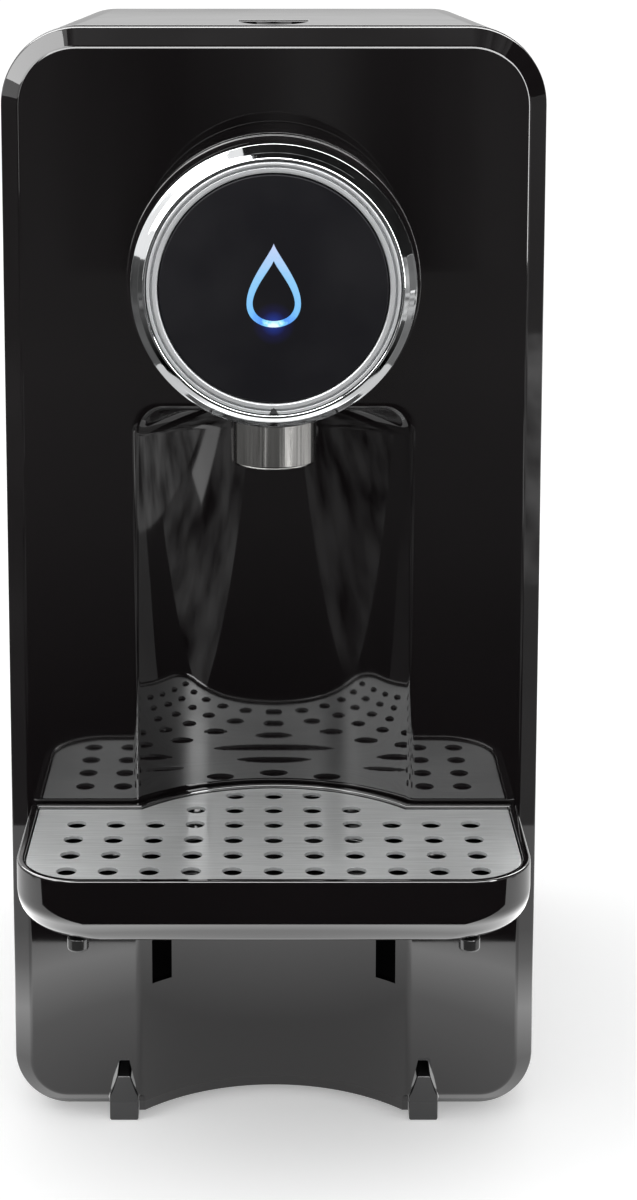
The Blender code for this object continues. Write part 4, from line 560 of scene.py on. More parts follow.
class Nodes:
    """A small builder for one material's node tree."""

    def __init__(self, name: str) -> None:
        """Start a material with its Principled shader.

        Args:
            name: The material's name.
        """
        self.material = bpy.data.materials.new(name)
        self.material.use_nodes = True
        self.tree = self.material.node_tree
        self.shader = self.tree.nodes["Principled BSDF"]

    def add(self, kind: str, **values: object) -> bpy.types.Node:
        """Add a node and set its properties or its input sockets.

        Args:
            kind: The node's type.
            **values: Values by name, with an underscore for a space.

        Returns:
            The node.
        """
        node = self.tree.nodes.new(kind)
        for key, value in values.items():
            if hasattr(node, key):
                setattr(node, key, value)
            else:
                node.inputs[key.replace("_", " ")].default_value = value
        return node

    def join(self, source: Socket, target: Socket) -> None:
        """Link one socket to another."""
        self.tree.links.new(source, target)

    def place(self, scale: Place = (1.0, 1.0, 1.0), shift: Place = (0.0, 0.0, 0.0)) -> Socket:
        """The object's own coordinates, moved and then scaled.

        Args:
            scale: What X, Y and Z are multiplied by.
            shift: What is added to them before that.

        Returns:
            The place's socket.
        """
        source = self.add("ShaderNodeTexCoord")
        move = self.add("ShaderNodeMapping")
        move.inputs["Location"].default_value = [a * b for a, b in zip(shift, scale)]
        move.inputs["Scale"].default_value = scale
        self.join(source.outputs["Object"], move.inputs["Vector"])
        return move.outputs["Vector"]

    def distance(self, scale: Place, centre: Place) -> Socket:
        """How far the surface lies from a place.

        Args:
            scale: What X, Y and Z count for.
            centre: The place.

        Returns:
            The distance's socket.
        """
        length = self.add("ShaderNodeVectorMath", operation="LENGTH")
        away = self.place(scale, tuple(-value for value in centre))
        self.join(away, length.inputs[0])
        return length.outputs["Value"]

    def reckon(self, operation: str, first: Socket, second: Socket | float) -> Socket:
        """Reckon with two values.

        Args:
            operation: The Math node's operation.
            first: The first value.
            second: The second value, a socket or a number.

        Returns:
            The result's socket.
        """
        node = self.add("ShaderNodeMath", operation=operation)
        self.join(first, node.inputs[0])
        if isinstance(second, float):
            node.inputs[1].default_value = second
        else:
            self.join(second, node.inputs[1])
        return node.outputs["Value"]

    def noise(self, where: Socket, scale: float, detail: float = 3.0) -> Socket:
        """A noise between 0 and 1.

        Args:
            where: The place that it is read at.
            scale: How many of its waves there are in a metre.
            detail: How many finer layers it has.

        Returns:
            The noise's socket.
        """
        node = self.add("ShaderNodeTexNoise", Scale=scale, Detail=detail)
        self.join(where, node.inputs["Vector"])
        return node.outputs["Fac"]

    def spread(
        self, source: Socket, low: float, high: float, start: float = 0.35, end: float = 0.65
    ) -> Socket:
        """Map a stretch of a value onto a range.

        Args:
            source: The value.
            low: What the stretch's start becomes.
            high: What its end becomes.
            start: Where the stretch starts, here for the middle of a noise.
            end: Where it ends.

        Returns:
            The mapped value's socket.
        """
        node = self.add("ShaderNodeMapRange")
        stretch_and_range = {"From Min": start, "From Max": end, "To Min": low, "To Max": high}
        for key, value in stretch_and_range.items():
            node.inputs[key].default_value = value
        self.join(source, node.inputs["Value"])
        return node.outputs["Result"]

    def shades(self, source: Socket, stops: Sequence[tuple[float, Rgb]]) -> Socket:
        """Colours along a ramp.

        Args:
            source: The value that is looked up.
            stops: Places along the ramp with their colours.

        Returns:
            The colour's socket.
        """
        node = self.add("ShaderNodeValToRGB")
        ramp = node.color_ramp
        while len(ramp.elements) < len(stops):
            ramp.elements.new(0.5)
        for element, (at, colour) in zip(ramp.elements, stops):
            element.position = at
            element.color = (*colour, 1.0)
        self.join(source, node.inputs["Fac"])
        return node.outputs["Color"]

    def relief(self, height: Socket, strength: float, distance: float) -> None:
        """Raise the surface by a height without moving it.

        Args:
            height: The height between 0 and 1.
            strength: How strongly it shows.
            distance: What a height of 1 stands for.
        """
        bump = self.add("ShaderNodeBump", Strength=strength, Distance=distance)
        self.join(height, bump.inputs["Height"])
        self.join(bump.outputs["Normal"], self.shader.inputs["Normal"])

    def set(self, **values: object) -> None:
        """Set constant sockets of the shader by name."""
        for key, value in values.items():
            self.shader.inputs[key.replace("_", " ")].default_value = value

    def feed(self, socket: Socket, name: str) -> None:
        """Link a socket to one of the shader's inputs."""
        self.join(socket, self.shader.inputs[name])


def tinted(colour: Rgb, share: float) -> Rgb:
    """A colour made lighter or darker by a share."""
    return tuple(min(channel * share, 1.0) for channel in colour)


@dataclass(frozen=True)
class Moulded:
    """Moulded plastic or rubber with slight colour, gloss and surface variation.

    Attributes:
        name: The material's name.
        slot: The record's material slot.
        colour: Linear base colour.
        gloss: Lowest and highest roughness.
        grain: How many surface waves there are in a metre.
        depth: The height of those waves.
        level: Specular level, 0.5 for common plastic.
        clear: How much light goes through.
        coat: How much clear lacquer lies on top.
        coat: How much clear lacquer lies on top.
        broad: How many colour clouds there are in a metre.
        smudge: How many gloss clouds there are in a metre.
        tints: The darkest and the lightest share of the colour.
        relief: How strongly the waves show.
    """

    name: str
    slot: str
    colour: Rgb
    gloss: Point
    grain: float
    depth: float
    level: float = 0.5
    clear: float = 0.0
    coat: float = 0.0
    broad: float = 9.0
    smudge: float = 30.0
    tints: Point = (0.85, 1.15)
    relief: float = 0.35

    def make(self) -> Material:
        """Build the material.

        Returns:
            The material.
        """
        nodes = Nodes(self.name)
        where = nodes.place()
        dark, light = (tinted(self.colour, share) for share in self.tints)
        clouds = nodes.noise(where, self.broad, 4.0)
        nodes.feed(nodes.shades(clouds, [(0.3, dark), (0.7, light)]), "Base Color")
        smudges = nodes.noise(where, self.smudge, 5.0)
        nodes.feed(nodes.spread(smudges, *self.gloss), "Roughness")
        nodes.relief(nodes.noise(where, self.grain, 2.0), self.relief, self.depth)
        nodes.set(
            Specular_IOR_Level=self.level,
            Transmission_Weight=self.clear,
            Coat_Weight=self.coat,
        )
        return nodes.material


@dataclass(frozen=True)
class Brushed:
    """Satin metal with fine lines along one direction or round an axis.

    Attributes:
        name: The material's name.
        slot: The record's material slot.
        colour: Linear base colour.
        gloss: Lowest and highest roughness.
        lines: Lines in a metre along X, Y and Z.
        depth: The depth of the lines.
        hub: Where lines that run round an axis are centred, or None.
        metal: How much of the surface reflects as bare metal.
        broad: How many gloss clouds there are in a metre.
        tints: The darkest and the lightest share of the colour.
        relief: How strongly the lines show.
    """

    name: str
    slot: str
    colour: Rgb
    gloss: Point
    lines: Place
    depth: float
    hub: Place | None = None
    metal: float = 1.0
    broad: float = 25.0
    tints: Point = (0.82, 1.12)
    relief: float = 0.5

    def make(self) -> Material:
        """Build the material.

        Returns:
            The material.
        """
        nodes = Nodes(self.name)
        if self.hub is None:
            where = nodes.place(self.lines)
        else:
            away = nodes.distance(ROUND_Y, self.hub)
            gather = nodes.add("ShaderNodeCombineXYZ")
            nodes.join(nodes.reckon("MULTIPLY", away, self.lines[0]), gather.inputs["X"])
            where = gather.outputs["Vector"]
        streak = nodes.noise(where, 1.0, 4.0)
        dark, light = (tinted(self.colour, share) for share in self.tints)
        nodes.feed(nodes.shades(streak, [(0.25, dark), (0.75, light)]), "Base Color")
        clouds = nodes.noise(nodes.place(), self.broad, 3.0)
        nodes.feed(nodes.spread(clouds, *self.gloss), "Roughness")
        nodes.relief(streak, self.relief, self.depth)
        nodes.set(Metallic=self.metal)
        return nodes.material


@dataclass(frozen=True)
class Chromed:
    """Mirror chrome with faint haze and wiping marks.

    Attributes:
        name: The material's name.
        slot: The record's material slot.
        colour: Linear base colour.
        dim: The haze's share of the colour.
        gloss: Lowest and highest roughness.
        grain: How many haze clouds there are in a metre.
        depth: The depth of the wiping marks.
    """

    name: str = "mirror_chrome"
    slot: str = "chrome"
    colour: Rgb = (0.80, 0.81, 0.82)
    dim: float = 0.94
    gloss: Point = (0.03, 0.09)
    grain: float = 60.0
    depth: float = 0.000005

    def make(self) -> Material:
        """Build the material.

        Returns:
            The material.
        """
        nodes = Nodes(self.name)
        haze = nodes.noise(nodes.place(), self.grain, 5.0)
        stops = [(0.3, tinted(self.colour, self.dim)), (0.7, self.colour)]
        nodes.feed(nodes.shades(haze, stops), "Base Color")
        nodes.feed(nodes.spread(haze, *self.gloss), "Roughness")
        nodes.relief(nodes.noise(nodes.place(), self.grain, 2.0), 0.1, self.depth)
        nodes.set(Metallic=1.0)
        return nodes.material


@dataclass(frozen=True)
class LitGuide:
    """The drop's light guide, white at the tip and blue round a bright foot.

    Attributes:
        low: The height of the drop's foot.
        high: The height of its tip.
        name: The material's name.
        slot: The record's material slot.
        gloss: Lowest and highest roughness.
    """

    low: float
    high: float
    name: str = "lit_drop"
    slot: str = "lamp"
    gloss: Point = (0.18, 0.30)

    def make(self) -> Material:
        """Build the material.

        Returns:
            The material.
        """
        nodes = Nodes(self.name)
        away = nodes.distance(ROUND_Y, (0.0, 0.0, self.low))
        rise = nodes.spread(away, 0.0, 1.0, 0.0, self.high - self.low)
        cloud = nodes.spread(nodes.noise(nodes.place(), 900.0, 2.0), -0.03, 0.03)
        glow = nodes.shades(
            nodes.reckon("ADD", rise, cloud),
            [
                (0.05, (0.85, 1.00, 1.00)), (0.10, (0.28, 0.78, 1.00)),
                (0.17, (0.06, 0.28, 0.96)), (0.32, (0.16, 0.50, 0.90)),
                (0.60, (0.24, 0.56, 0.88)), (1.00, (0.52, 0.60, 0.86)),
            ],
        )
        nodes.feed(glow, "Emission Color")
        unlit = nodes.shades(rise, [(0.0, (0.04, 0.06, 0.09)), (1.0, (0.07, 0.08, 0.10))])
        nodes.feed(unlit, "Base Color")
        nodes.feed(nodes.spread(nodes.noise(nodes.place(), 300.0), *self.gloss), "Roughness")
        nodes.set(Emission_Strength=1.0)
        return nodes.material


@dataclass(frozen=True)
class ButtonFace:
    """Satin black with a painted blue glow near the drop's foot, for the drop's light soaking into
    it.

    Attributes:
        centre: The middle of the painted glow.
        reach: How far the painted glow reaches.
        name: The material's name.
        slot: The record's material slot.
        gloss: Lowest and highest roughness.
        core: How wide the painted glow is at its full strength.
        grain: How many surface waves there are in a metre.
        depth: The height of those waves.
    """

    centre: Place
    reach: float
    name: str = "satin_black_button"
    slot: str = "satin_black"
    gloss: Point = (0.36, 0.46)
    core: float = 0.0006
    grain: float = 2600.0
    depth: float = 0.00002

    def make(self) -> Material:
        """Build the material.

        Returns:
            The material.
        """
        nodes = Nodes(self.name)
        # Painted glow: emission on the button's own face, strongest round the drop's foot, for the
        # drop's light.
        away = nodes.distance(ROUND_Y, self.centre)
        near = nodes.spread(away, 1.0, 0.0, self.core, self.reach)
        glow = nodes.shades(
            near,
            [(0.0, (0.0, 0.0, 0.0)), (0.45, (0.002, 0.002, 0.03)), (1.0, (0.008, 0.03, 0.26))],
        )
        nodes.feed(glow, "Emission Color")
        black = nodes.shades(
            nodes.noise(nodes.place(), 12.0, 4.0),
            [(0.3, (0.0045, 0.0042, 0.0070)), (0.7, (0.0060, 0.0056, 0.0090))],
        )
        nodes.feed(black, "Base Color")
        smudges = nodes.noise(nodes.place(), 45.0, 5.0)
        nodes.feed(nodes.spread(smudges, *self.gloss), "Roughness")
        nodes.relief(nodes.noise(nodes.place(), self.grain, 2.0), 0.3, self.depth)
        nodes.set(Emission_Strength=1.0, Specular_IOR_Level=0.2)
        return nodes.material


@dataclass(frozen=True)
class CircuitBoard:
    """Green solder mask with copper tracks under it.

    Attributes:
        name: The material's name.
        slot: The record's material slot.
        mask: The two greens between the tracks.
        track: The green over a track.
        pitch: How many tracks there are in a metre.
        gloss: Lowest and highest roughness.
    """

    name: str = "green_board"
    slot: str = "board_green"
    mask: tuple[Rgb, Rgb] = ((0.020, 0.130, 0.050), (0.028, 0.170, 0.070))
    track: Rgb = (0.070, 0.260, 0.100)
    pitch: float = 90.0
    gloss: Point = (0.25, 0.45)

    def make(self) -> Material:
        """Build the material.

        Returns:
            The material.
        """
        nodes = Nodes(self.name)
        bricks = nodes.add("ShaderNodeTexBrick", offset=0.3, Scale=self.pitch, Mortar_Size=0.05)
        for socket, colour in zip(("Color1", "Color2", "Mortar"), (*self.mask, self.track)):
            bricks.inputs[socket].default_value = (*colour, 1.0)
        flat = nodes.add("ShaderNodeMapping", Rotation=(math.pi / 2, 0.0, 0.0))
        nodes.join(nodes.place(), flat.inputs["Vector"])
        nodes.join(flat.outputs["Vector"], bricks.inputs["Vector"])
        nodes.feed(bricks.outputs["Color"], "Base Color")
        nodes.feed(nodes.spread(nodes.noise(nodes.place(), 200.0), *self.gloss), "Roughness")
        nodes.relief(bricks.outputs["Fac"], 0.4, 0.00005)
        return nodes.material


class Finishes:
    """Every finish of the object, each made once."""

    def __init__(self, dial_z: float) -> None:
        """Make the materials.

        Args:
            dial_z: The height of the dial's axis, where the light and ring marks centre.
        """
        tip, foot = dial_z + Dial.drop_rise, dial_z - Dial.drop_fall
        painted_glow_middle, painted_glow_reach = (0.0, 0.0, foot + 0.0010), 0.0058
        hub = (0.0, 0.0, dial_z)
        black, soft_black = (0.0068, 0.0056, 0.0060), (0.030, 0.030, 0.030)
        # name, slot, colour, gloss, waves in a metre, their height, level, clear, coat
        moulded = {
            "gloss": ("gloss_black", "gloss_black", black, (0.020, 0.050), 40.0, 0.00002, 0.85),
            "tray": (
                "tray_black", "gloss_black", black, (0.03, 0.06), 40.0, 0.00002, 1.0, 0.0, 1.0,
            ),
            "foot": (
                "foot_black", "gloss_black", (0.020, 0.020, 0.021), (0.16, 0.26),
                300.0, 0.00003, 0.8,
            ),
            "satin": (
                "satin_black", "satin_black", (0.020, 0.021, 0.024), (0.42, 0.56),
                1800.0, 0.00003,
            ),
            # Same slot as satin black, made darker and duller for parts inside the body: the matt
            # roughness is real, the darker colour and low specular level are painted shade.
            "matt": (
                "matt_black", "satin_black", (0.008, 0.008, 0.009), (0.62, 0.76),
                1800.0, 0.00003, 0.12,
            ),
            "smoked": (
                "smoked_clear", "smoked_clear", (0.10, 0.11, 0.12), (0.05, 0.12),
                80.0, 0.00003, 0.5, 0.75,
            ),
            "rubber": ("black_rubber", "rubber", soft_black, (0.30, 0.50), 1500.0, 0.00004),
            "peg": ("peg_black", "rubber", soft_black, (0.10, 0.18), 300.0, 0.00002, 0.9),
            "silicone": (
                "silicone", "silicone", (0.70, 0.71, 0.73), (0.35, 0.50),
                700.0, 0.00004, 0.5, 0.35,
            ),
            "engine": (
                "engine_grey", "engine_grey", (0.25, 0.26, 0.27), (0.40, 0.55),
                900.0, 0.00004,
            ),
        }
        # name, slot, colour, gloss, lines in a metre, their depth, hub, metal
        brushed = {
            "steel": (
                "satin_steel", "satin_steel", (0.60, 0.61, 0.61), (0.32, 0.44),
                (60.0, 1500.0, 60.0), 0.00002, None, 0.4,
            ),
            "turned_steel": (
                "turned_steel", "satin_steel", (0.70, 0.69, 0.67), (0.10, 0.20),
                (420.0, 420.0, 8.0), 0.00016,
            ),
            "ring_steel": (
                "ring_steel", "satin_steel", (0.60, 0.61, 0.62), (0.30, 0.40),
                (2600.0, 0.0, 0.0), 0.00002, hub, 0.4,
            ),
            "zinc": (
                "zinc_plate", "zinc", (0.36, 0.36, 0.38), (0.28, 0.42),
                (400.0, 400.0, 1200.0), 0.00002,
            ),
            "cast": (
                "cast_aluminium", "aluminium", (0.70, 0.71, 0.72), (0.45, 0.60),
                (900.0, 900.0, 900.0), 0.00005,
            ),
        }
        recipes = {
            **{key: Moulded(*values) for key, values in moulded.items()},
            **{key: Brushed(*values) for key, values in brushed.items()},
            "chrome": Chromed(),
            "lamp": LitGuide(foot, tip),
            "button": ButtonFace(painted_glow_middle, painted_glow_reach),
            "board": CircuitBoard(),
        }
        self.slots = {key: recipe.slot for key, recipe in recipes.items()}
        self.made = {key: recipe.make() for key, recipe in recipes.items()}

    def dress(self, piece: Piece, key: str) -> None:
        """Give a new piece its material.

        Args:
            piece: The piece.
            key: The finish's key.
        """
        piece.data.materials.clear()
        piece.data.materials.append(self.made[key])

    def repaint(self, node: Piece, key: str) -> None:
        """Give a carried-over solid its material by its slots.

        Args:
            node: The solid.
            key: The finish's key.
        """
        if not node.material_slots:
            node.data.materials.append(self.made[key])
        for slot in node.material_slots:
            slot.material = self.made[key]


@dataclass(frozen=True)
class Sizes:
    """The sizes that several sub-assemblies share."""

    half: float = 0.080
    top: float = 0.335
    floor: float = 0.003
    panel_y: float = -0.060
    back_y: float = 0.120
    top_radius: float = 0.023
    bottom_radius: float = 0.017
    wall: float = 0.0025
    fit: float = 0.0003
    over: float = 0.005
    rim: float = 0.011
    seam: float = 0.0006
    column_back: float = -0.005
    deck_top: float = 0.105
    dial_z: float = 0.2674
    recess_radius: float = 0.05677857
    recess_depth: float = 0.0175
    corner_steps: int = 20

    @property
    def recess_centre(self) -> float:
        """The Y of the axis that the recess curves about."""
        return self.panel_y + self.recess_depth - self.recess_radius

    @property
    def shell_front(self) -> float:
        """The Y at which the body shell starts, behind the seam."""
        return self.panel_y + self.rim + self.seam

    def outline(self, name: str, inset: float, at: float) -> Piece:
        """The body's front outline as a flat face.

        Args:
            name: The face's name.
            inset: How far the outline is drawn in.
            at: The face's Y.

        Returns:
            The face.
        """
        low = (-self.half + inset, self.floor + inset)
        high = (self.half - inset, self.top - inset)
        piece = plate(name, low, high, at)
        middle = (self.top + self.floor) / 2
        for radius, side in ((self.top_radius, 1), (self.bottom_radius, -1)):
            round_corners(
                piece, radius - inset, self.corner_steps, lambda p: (p.z - middle) * side > 0
            )
        return piece


@dataclass
class Assembly:
    """A sub-assembly that makes pieces, dresses them and reports them."""

    sizes: Sizes
    finishes: Finishes

    def done(
        self, piece: Piece, body: str, finish: str, *nodes: str, angle: float = 35.0
    ) -> None:
        """Smooth and dress a piece, hang it on its body and let it stand for its nodes.

        Args:
            piece: The finished piece, at the origin.
            body: The body that it rides on.
            finish: The finish's key.
            *nodes: The solids that it stands for.
            angle: The angle in degrees past which an edge stays sharp.
        """
        smooth(piece, angle)
        self.finishes.dress(piece, finish)
        if nodes:
            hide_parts(*nodes)
        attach(piece, body)
        faces, stands = len(piece.data.polygons), ", ".join(nodes) or "no node"
        LOG.info("%s: %d faces on %s for %s", piece.name, faces, body, stands)


@dataclass
class FrontMoulding(Assembly):
    """The one-piece front: chamfered rim, cup recess, tray slots and foot notches."""

    panel_wall: float = 0.003
    chamfer: float = 0.0055
    face_round: float = 0.0007
    side_round: float = 0.0007
    rear_round: float = 0.0008
    shy: float = 0.0004
    recess_top: float = 0.222
    lip: float = 0.003
    corner: float = 0.005
    corner_steps: int = 10
    round_steps: int = 5
    sharp: float = 0.5
    lip_steps: int = 8
    recess_steps: int = 28
    slot_place: float = 0.0343
    slot_half: float = 0.0029
    slot_low: float = 0.043
    slot_high: float = 0.0963
    screen_half: float = 0.044
    screen_low: float = 0.0055
    screen_high: float = 0.107
    screen_y: float = -0.0317
    screen_wall: float = 0.001
    screen_fold: float = 0.008
    screen_round: float = 0.0003
    foot_place: float = 0.046
    foot_half: float = 0.0044
    foot_top_half: float = 0.002
    foot_straight: float = 0.0075
    foot_tall: float = 0.0145
    foot_set_back: float = 0.0005
    foot_round: float = 0.0006
    notch_tall: float = 0.0205
    dial_opening: float = 0.014
    bracket_half: float = 0.027
    bracket_lows: Point = (0.0327, 0.1013)
    bracket_tall: float = 0.005
    bracket_y: Point = (-0.050, -0.0345)
    rod_place: Point = (0.020, -0.03945)
    rod_span: Point = (0.02, 0.12)
    rod_hole: float = 0.00215

    def half_width(self, depth: float, grow: float) -> float:
        """Half the recess's width at a depth, with a round lip at its mouth.

        Args:
            depth: The depth behind the panel.
            grow: How much larger than the recess the form is.

        Returns:
            Half the width.
        """
        radius = self.sizes.recess_radius + grow
        reach = self.sizes.recess_depth + grow
        lip = self.lip
        lip_x = math.sqrt(reach * (2 * (radius + lip) - reach))
        meets = lip - lip * (lip - reach + radius) / (radius + lip)
        if grow == 0.0 and depth < meets:
            inside = max(lip - max(depth, 0.0), 0.0)
            return lip_x - math.sqrt(lip**2 - inside**2)
        return math.sqrt(max(radius**2 - (radius - reach + depth) ** 2, 0.0))

    def recess(self, name: str, grow: float, start: float, low: float) -> Piece:
        """The recess's space, or its liner when it is grown by a wall.

        Args:
            name: The form's name.
            grow: How much larger than the recess it is.
            start: The depth behind the panel at which it starts.
            low: The height of its open lower end.

        Returns:
            The form, a plate that was extruded and resized depth by depth.
        """
        sizes = self.sizes
        radius, reach = sizes.recess_radius + grow, sizes.recess_depth + grow
        depths = [start]
        if grow == 0.0:
            depths += [
                self.lip * (step / self.lip_steps) ** 2 for step in range(self.lip_steps + 1)
            ]
        turn = math.acos((radius - reach + depths[-1]) / radius)
        for step in range(1, self.recess_steps):
            angle = turn * (1 - step / self.recess_steps)
            depths.append(radius * math.cos(angle) - (radius - reach))
        depth = depths[0]
        half = self.half_width(depth, grow)
        top = self.recess_top + self.rise(depth, grow)
        middle = (low + top) / 2
        form = plate(name, (-half, low), (half, top), sizes.panel_y + depth)
        corner = self.corner + self.rise(depth, grow)
        round_corners(form, corner, self.corner_steps, lambda p: p.z > middle)
        with editing(form):
            choose_all(Pick.FACE)
            for deeper in depths[1:]:
                extrude((0.0, deeper - depth, 0.0))
                next_half = self.half_width(deeper, grow)
                next_top = self.recess_top + self.rise(deeper, grow)
                resize(
                    (next_half / half, 1.0, (next_top - low) / (top - low)),
                    (0.0, sizes.panel_y + deeper, low),
                )
                half, top, depth = next_half, next_top, deeper
            face_out()
        return form

    def rise(self, depth: float, grow: float) -> float:
        """How far the form's ceiling lies over the recess's top at a depth.

        Args:
            depth: The depth behind the panel.
            grow: How much larger than the recess the form is.

        Returns:
            The lip's share, or what the form is grown by.
        """
        inside = max(self.lip - max(depth, 0.0), 0.0)
        if grow == 0.0:
            return self.lip - math.sqrt(self.lip**2 - inside**2)
        return grow

    def wedge(
        self, name: str, across: float, grow: float, tall: float, top_half: float, edges: Point
    ) -> Piece:
        """A front foot's wedge form, or its notch when it is grown.

        Args:
            name: The form's name.
            across: The X of its middle.
            grow: How much wider than the foot it is on each side.
            tall: The height of its top.
            top_half: Half its width at the top.
            edges: The Y of its front and of its back.

        Returns:
            The form.
        """
        half = self.foot_half + grow
        low = -self.sizes.over if grow else 0.0
        form = plate(name, (across - half, low), (across + half, self.foot_straight), edges[1])
        stretch(form, (0.0, edges[0] - edges[1], 0.0))
        with editing(form):
            choose(form, Pick.FACE, lambda middle, normal: normal.z > 0.9)
            extrude((0.0, 0.0, tall - self.foot_straight))
            resize((top_half / half, 1.0, 1.0), (across, 0.0, tall))
        return form

    def rimmed(self, name: str, inset: float, back: float, front: float) -> Piece:
        """A solid of the body's outline with a chamfered front.

        Args:
            name: The solid's name.
            inset: How far the outline is drawn in.
            back: The Y of its back.
            front: The Y of its front.

        Returns:
            The solid.
        """
        form = self.sizes.outline(name, inset, back)
        with editing(form):
            choose_all(Pick.FACE)
            extrude((0.0, front + self.chamfer - back, 0.0))
            bpy.ops.mesh.inset(thickness=self.chamfer, depth=0.0, use_even_offset=True)
            bpy.ops.transform.translate(value=(0.0, -self.chamfer, 0.0))
            face_out()
        return form

    def round_rim(self, form: Piece) -> None:
        """Round the rim's edges, which catch the light as thin lines.

        Args:
            form: The moulding before it is hollowed.
        """
        front = self.sizes.panel_y
        rounds = (
            (front + self.sizes.rim, self.rear_round),
            (front + self.chamfer, self.side_round),
            (front, self.face_round),
        )
        for place, width in rounds:
            round_edges(
                form,
                width,
                self.round_steps,
                lambda a, b, angle: angle > self.sharp
                and max(abs(a.y - place), abs(b.y - place)) < NEAR,
            )

    def make(self) -> None:
        """Model the moulding and its two feet."""
        sizes = self.sizes
        front = sizes.panel_y
        fascia = self.rimmed("fascia_moulding", self.shy, front + sizes.rim, front)
        self.round_rim(fascia)
        hollow = self.rimmed(
            "fascia_hollow", sizes.wall, front + sizes.rim + sizes.over, front + self.panel_wall
        )
        combine(fascia, Blend.CUT, hollow)
        liner = self.recess("liner", sizes.wall, self.panel_wall / 2, sizes.floor)
        combine(fascia, Blend.JOIN, liner)
        for low in self.bracket_lows:
            bracket = block(
                "rod_bracket",
                (-self.bracket_half, self.bracket_y[0], low),
                (self.bracket_half, self.bracket_y[1], low + self.bracket_tall),
            )
            combine(fascia, Blend.JOIN, bracket)
        space = self.recess("recess_space", 0.0, -sizes.over, sizes.floor - sizes.over)
        combine(fascia, Blend.CUT, space)
        for sign in (-1, 1):
            across = sign * self.slot_place
            slot = block(
                "slot",
                (across - self.slot_half, front - sizes.over, self.slot_low),
                (across + self.slot_half, sizes.column_back, self.slot_high),
            )
            notch = self.wedge(
                "notch",
                sign * self.foot_place,
                sizes.fit,
                self.notch_tall,
                self.foot_top_half - sizes.fit,
                (front - sizes.over, front + sizes.rim + sizes.over),
            )
            combine(fascia, Blend.CUT, slot, notch)
            x, y = sign * self.rod_place[0], self.rod_place[1]
            ends = [(x, y, height) for height in self.rod_span]
            combine(fascia, Blend.CUT, rod("rod_hole", self.rod_hole, *ends))
        opening = rod(
            "dial_opening",
            self.dial_opening,
            (0.0, front - sizes.over, sizes.dial_z),
            (0.0, front + self.panel_wall + sizes.over, sizes.dial_z),
        )
        combine(fascia, Blend.CUT, opening)
        self.done(fascia, "base", "gloss", "front_fascia")
        self.make_shade_screen()
        for side, sign in (("left", -1), ("right", 1)):
            foot = self.wedge(
                f"foot_wedge_{side}",
                sign * self.foot_place,
                0.0,
                self.foot_tall,
                self.foot_top_half,
                (front + self.foot_set_back, sizes.shell_front - sizes.fit),
            )
            soften(foot, self.foot_round, 4)
            self.done(foot, "base", "foot", f"front_foot_{side}")

    def make_shade_screen(self) -> None:
        """Model the dark folded screen behind the tray slots, on the base plate: a dark sheet that
        stands in for the shade inside the body, as painted shade.
        """
        half, fold = self.screen_half, self.screen_fold
        low, high = self.screen_low, self.screen_high
        near, thick = self.screen_y, self.screen_wall
        screen = block("slot_shade_screen", (-half, near, low), (half, near + thick, high))
        foot = block("screen_foot", (-half, near, low), (half, near + fold, low + thick))
        left = block("screen_left", (-half, near, low), (thick - half, near + fold / 2, high))
        right = block("screen_right", (half - thick, near, low), (half, near + fold / 2, high))
        combine(screen, Blend.JOIN, foot, left, right)
        soften(screen, self.screen_round, 2, 50.0)
        self.done(screen, "base", "matt")


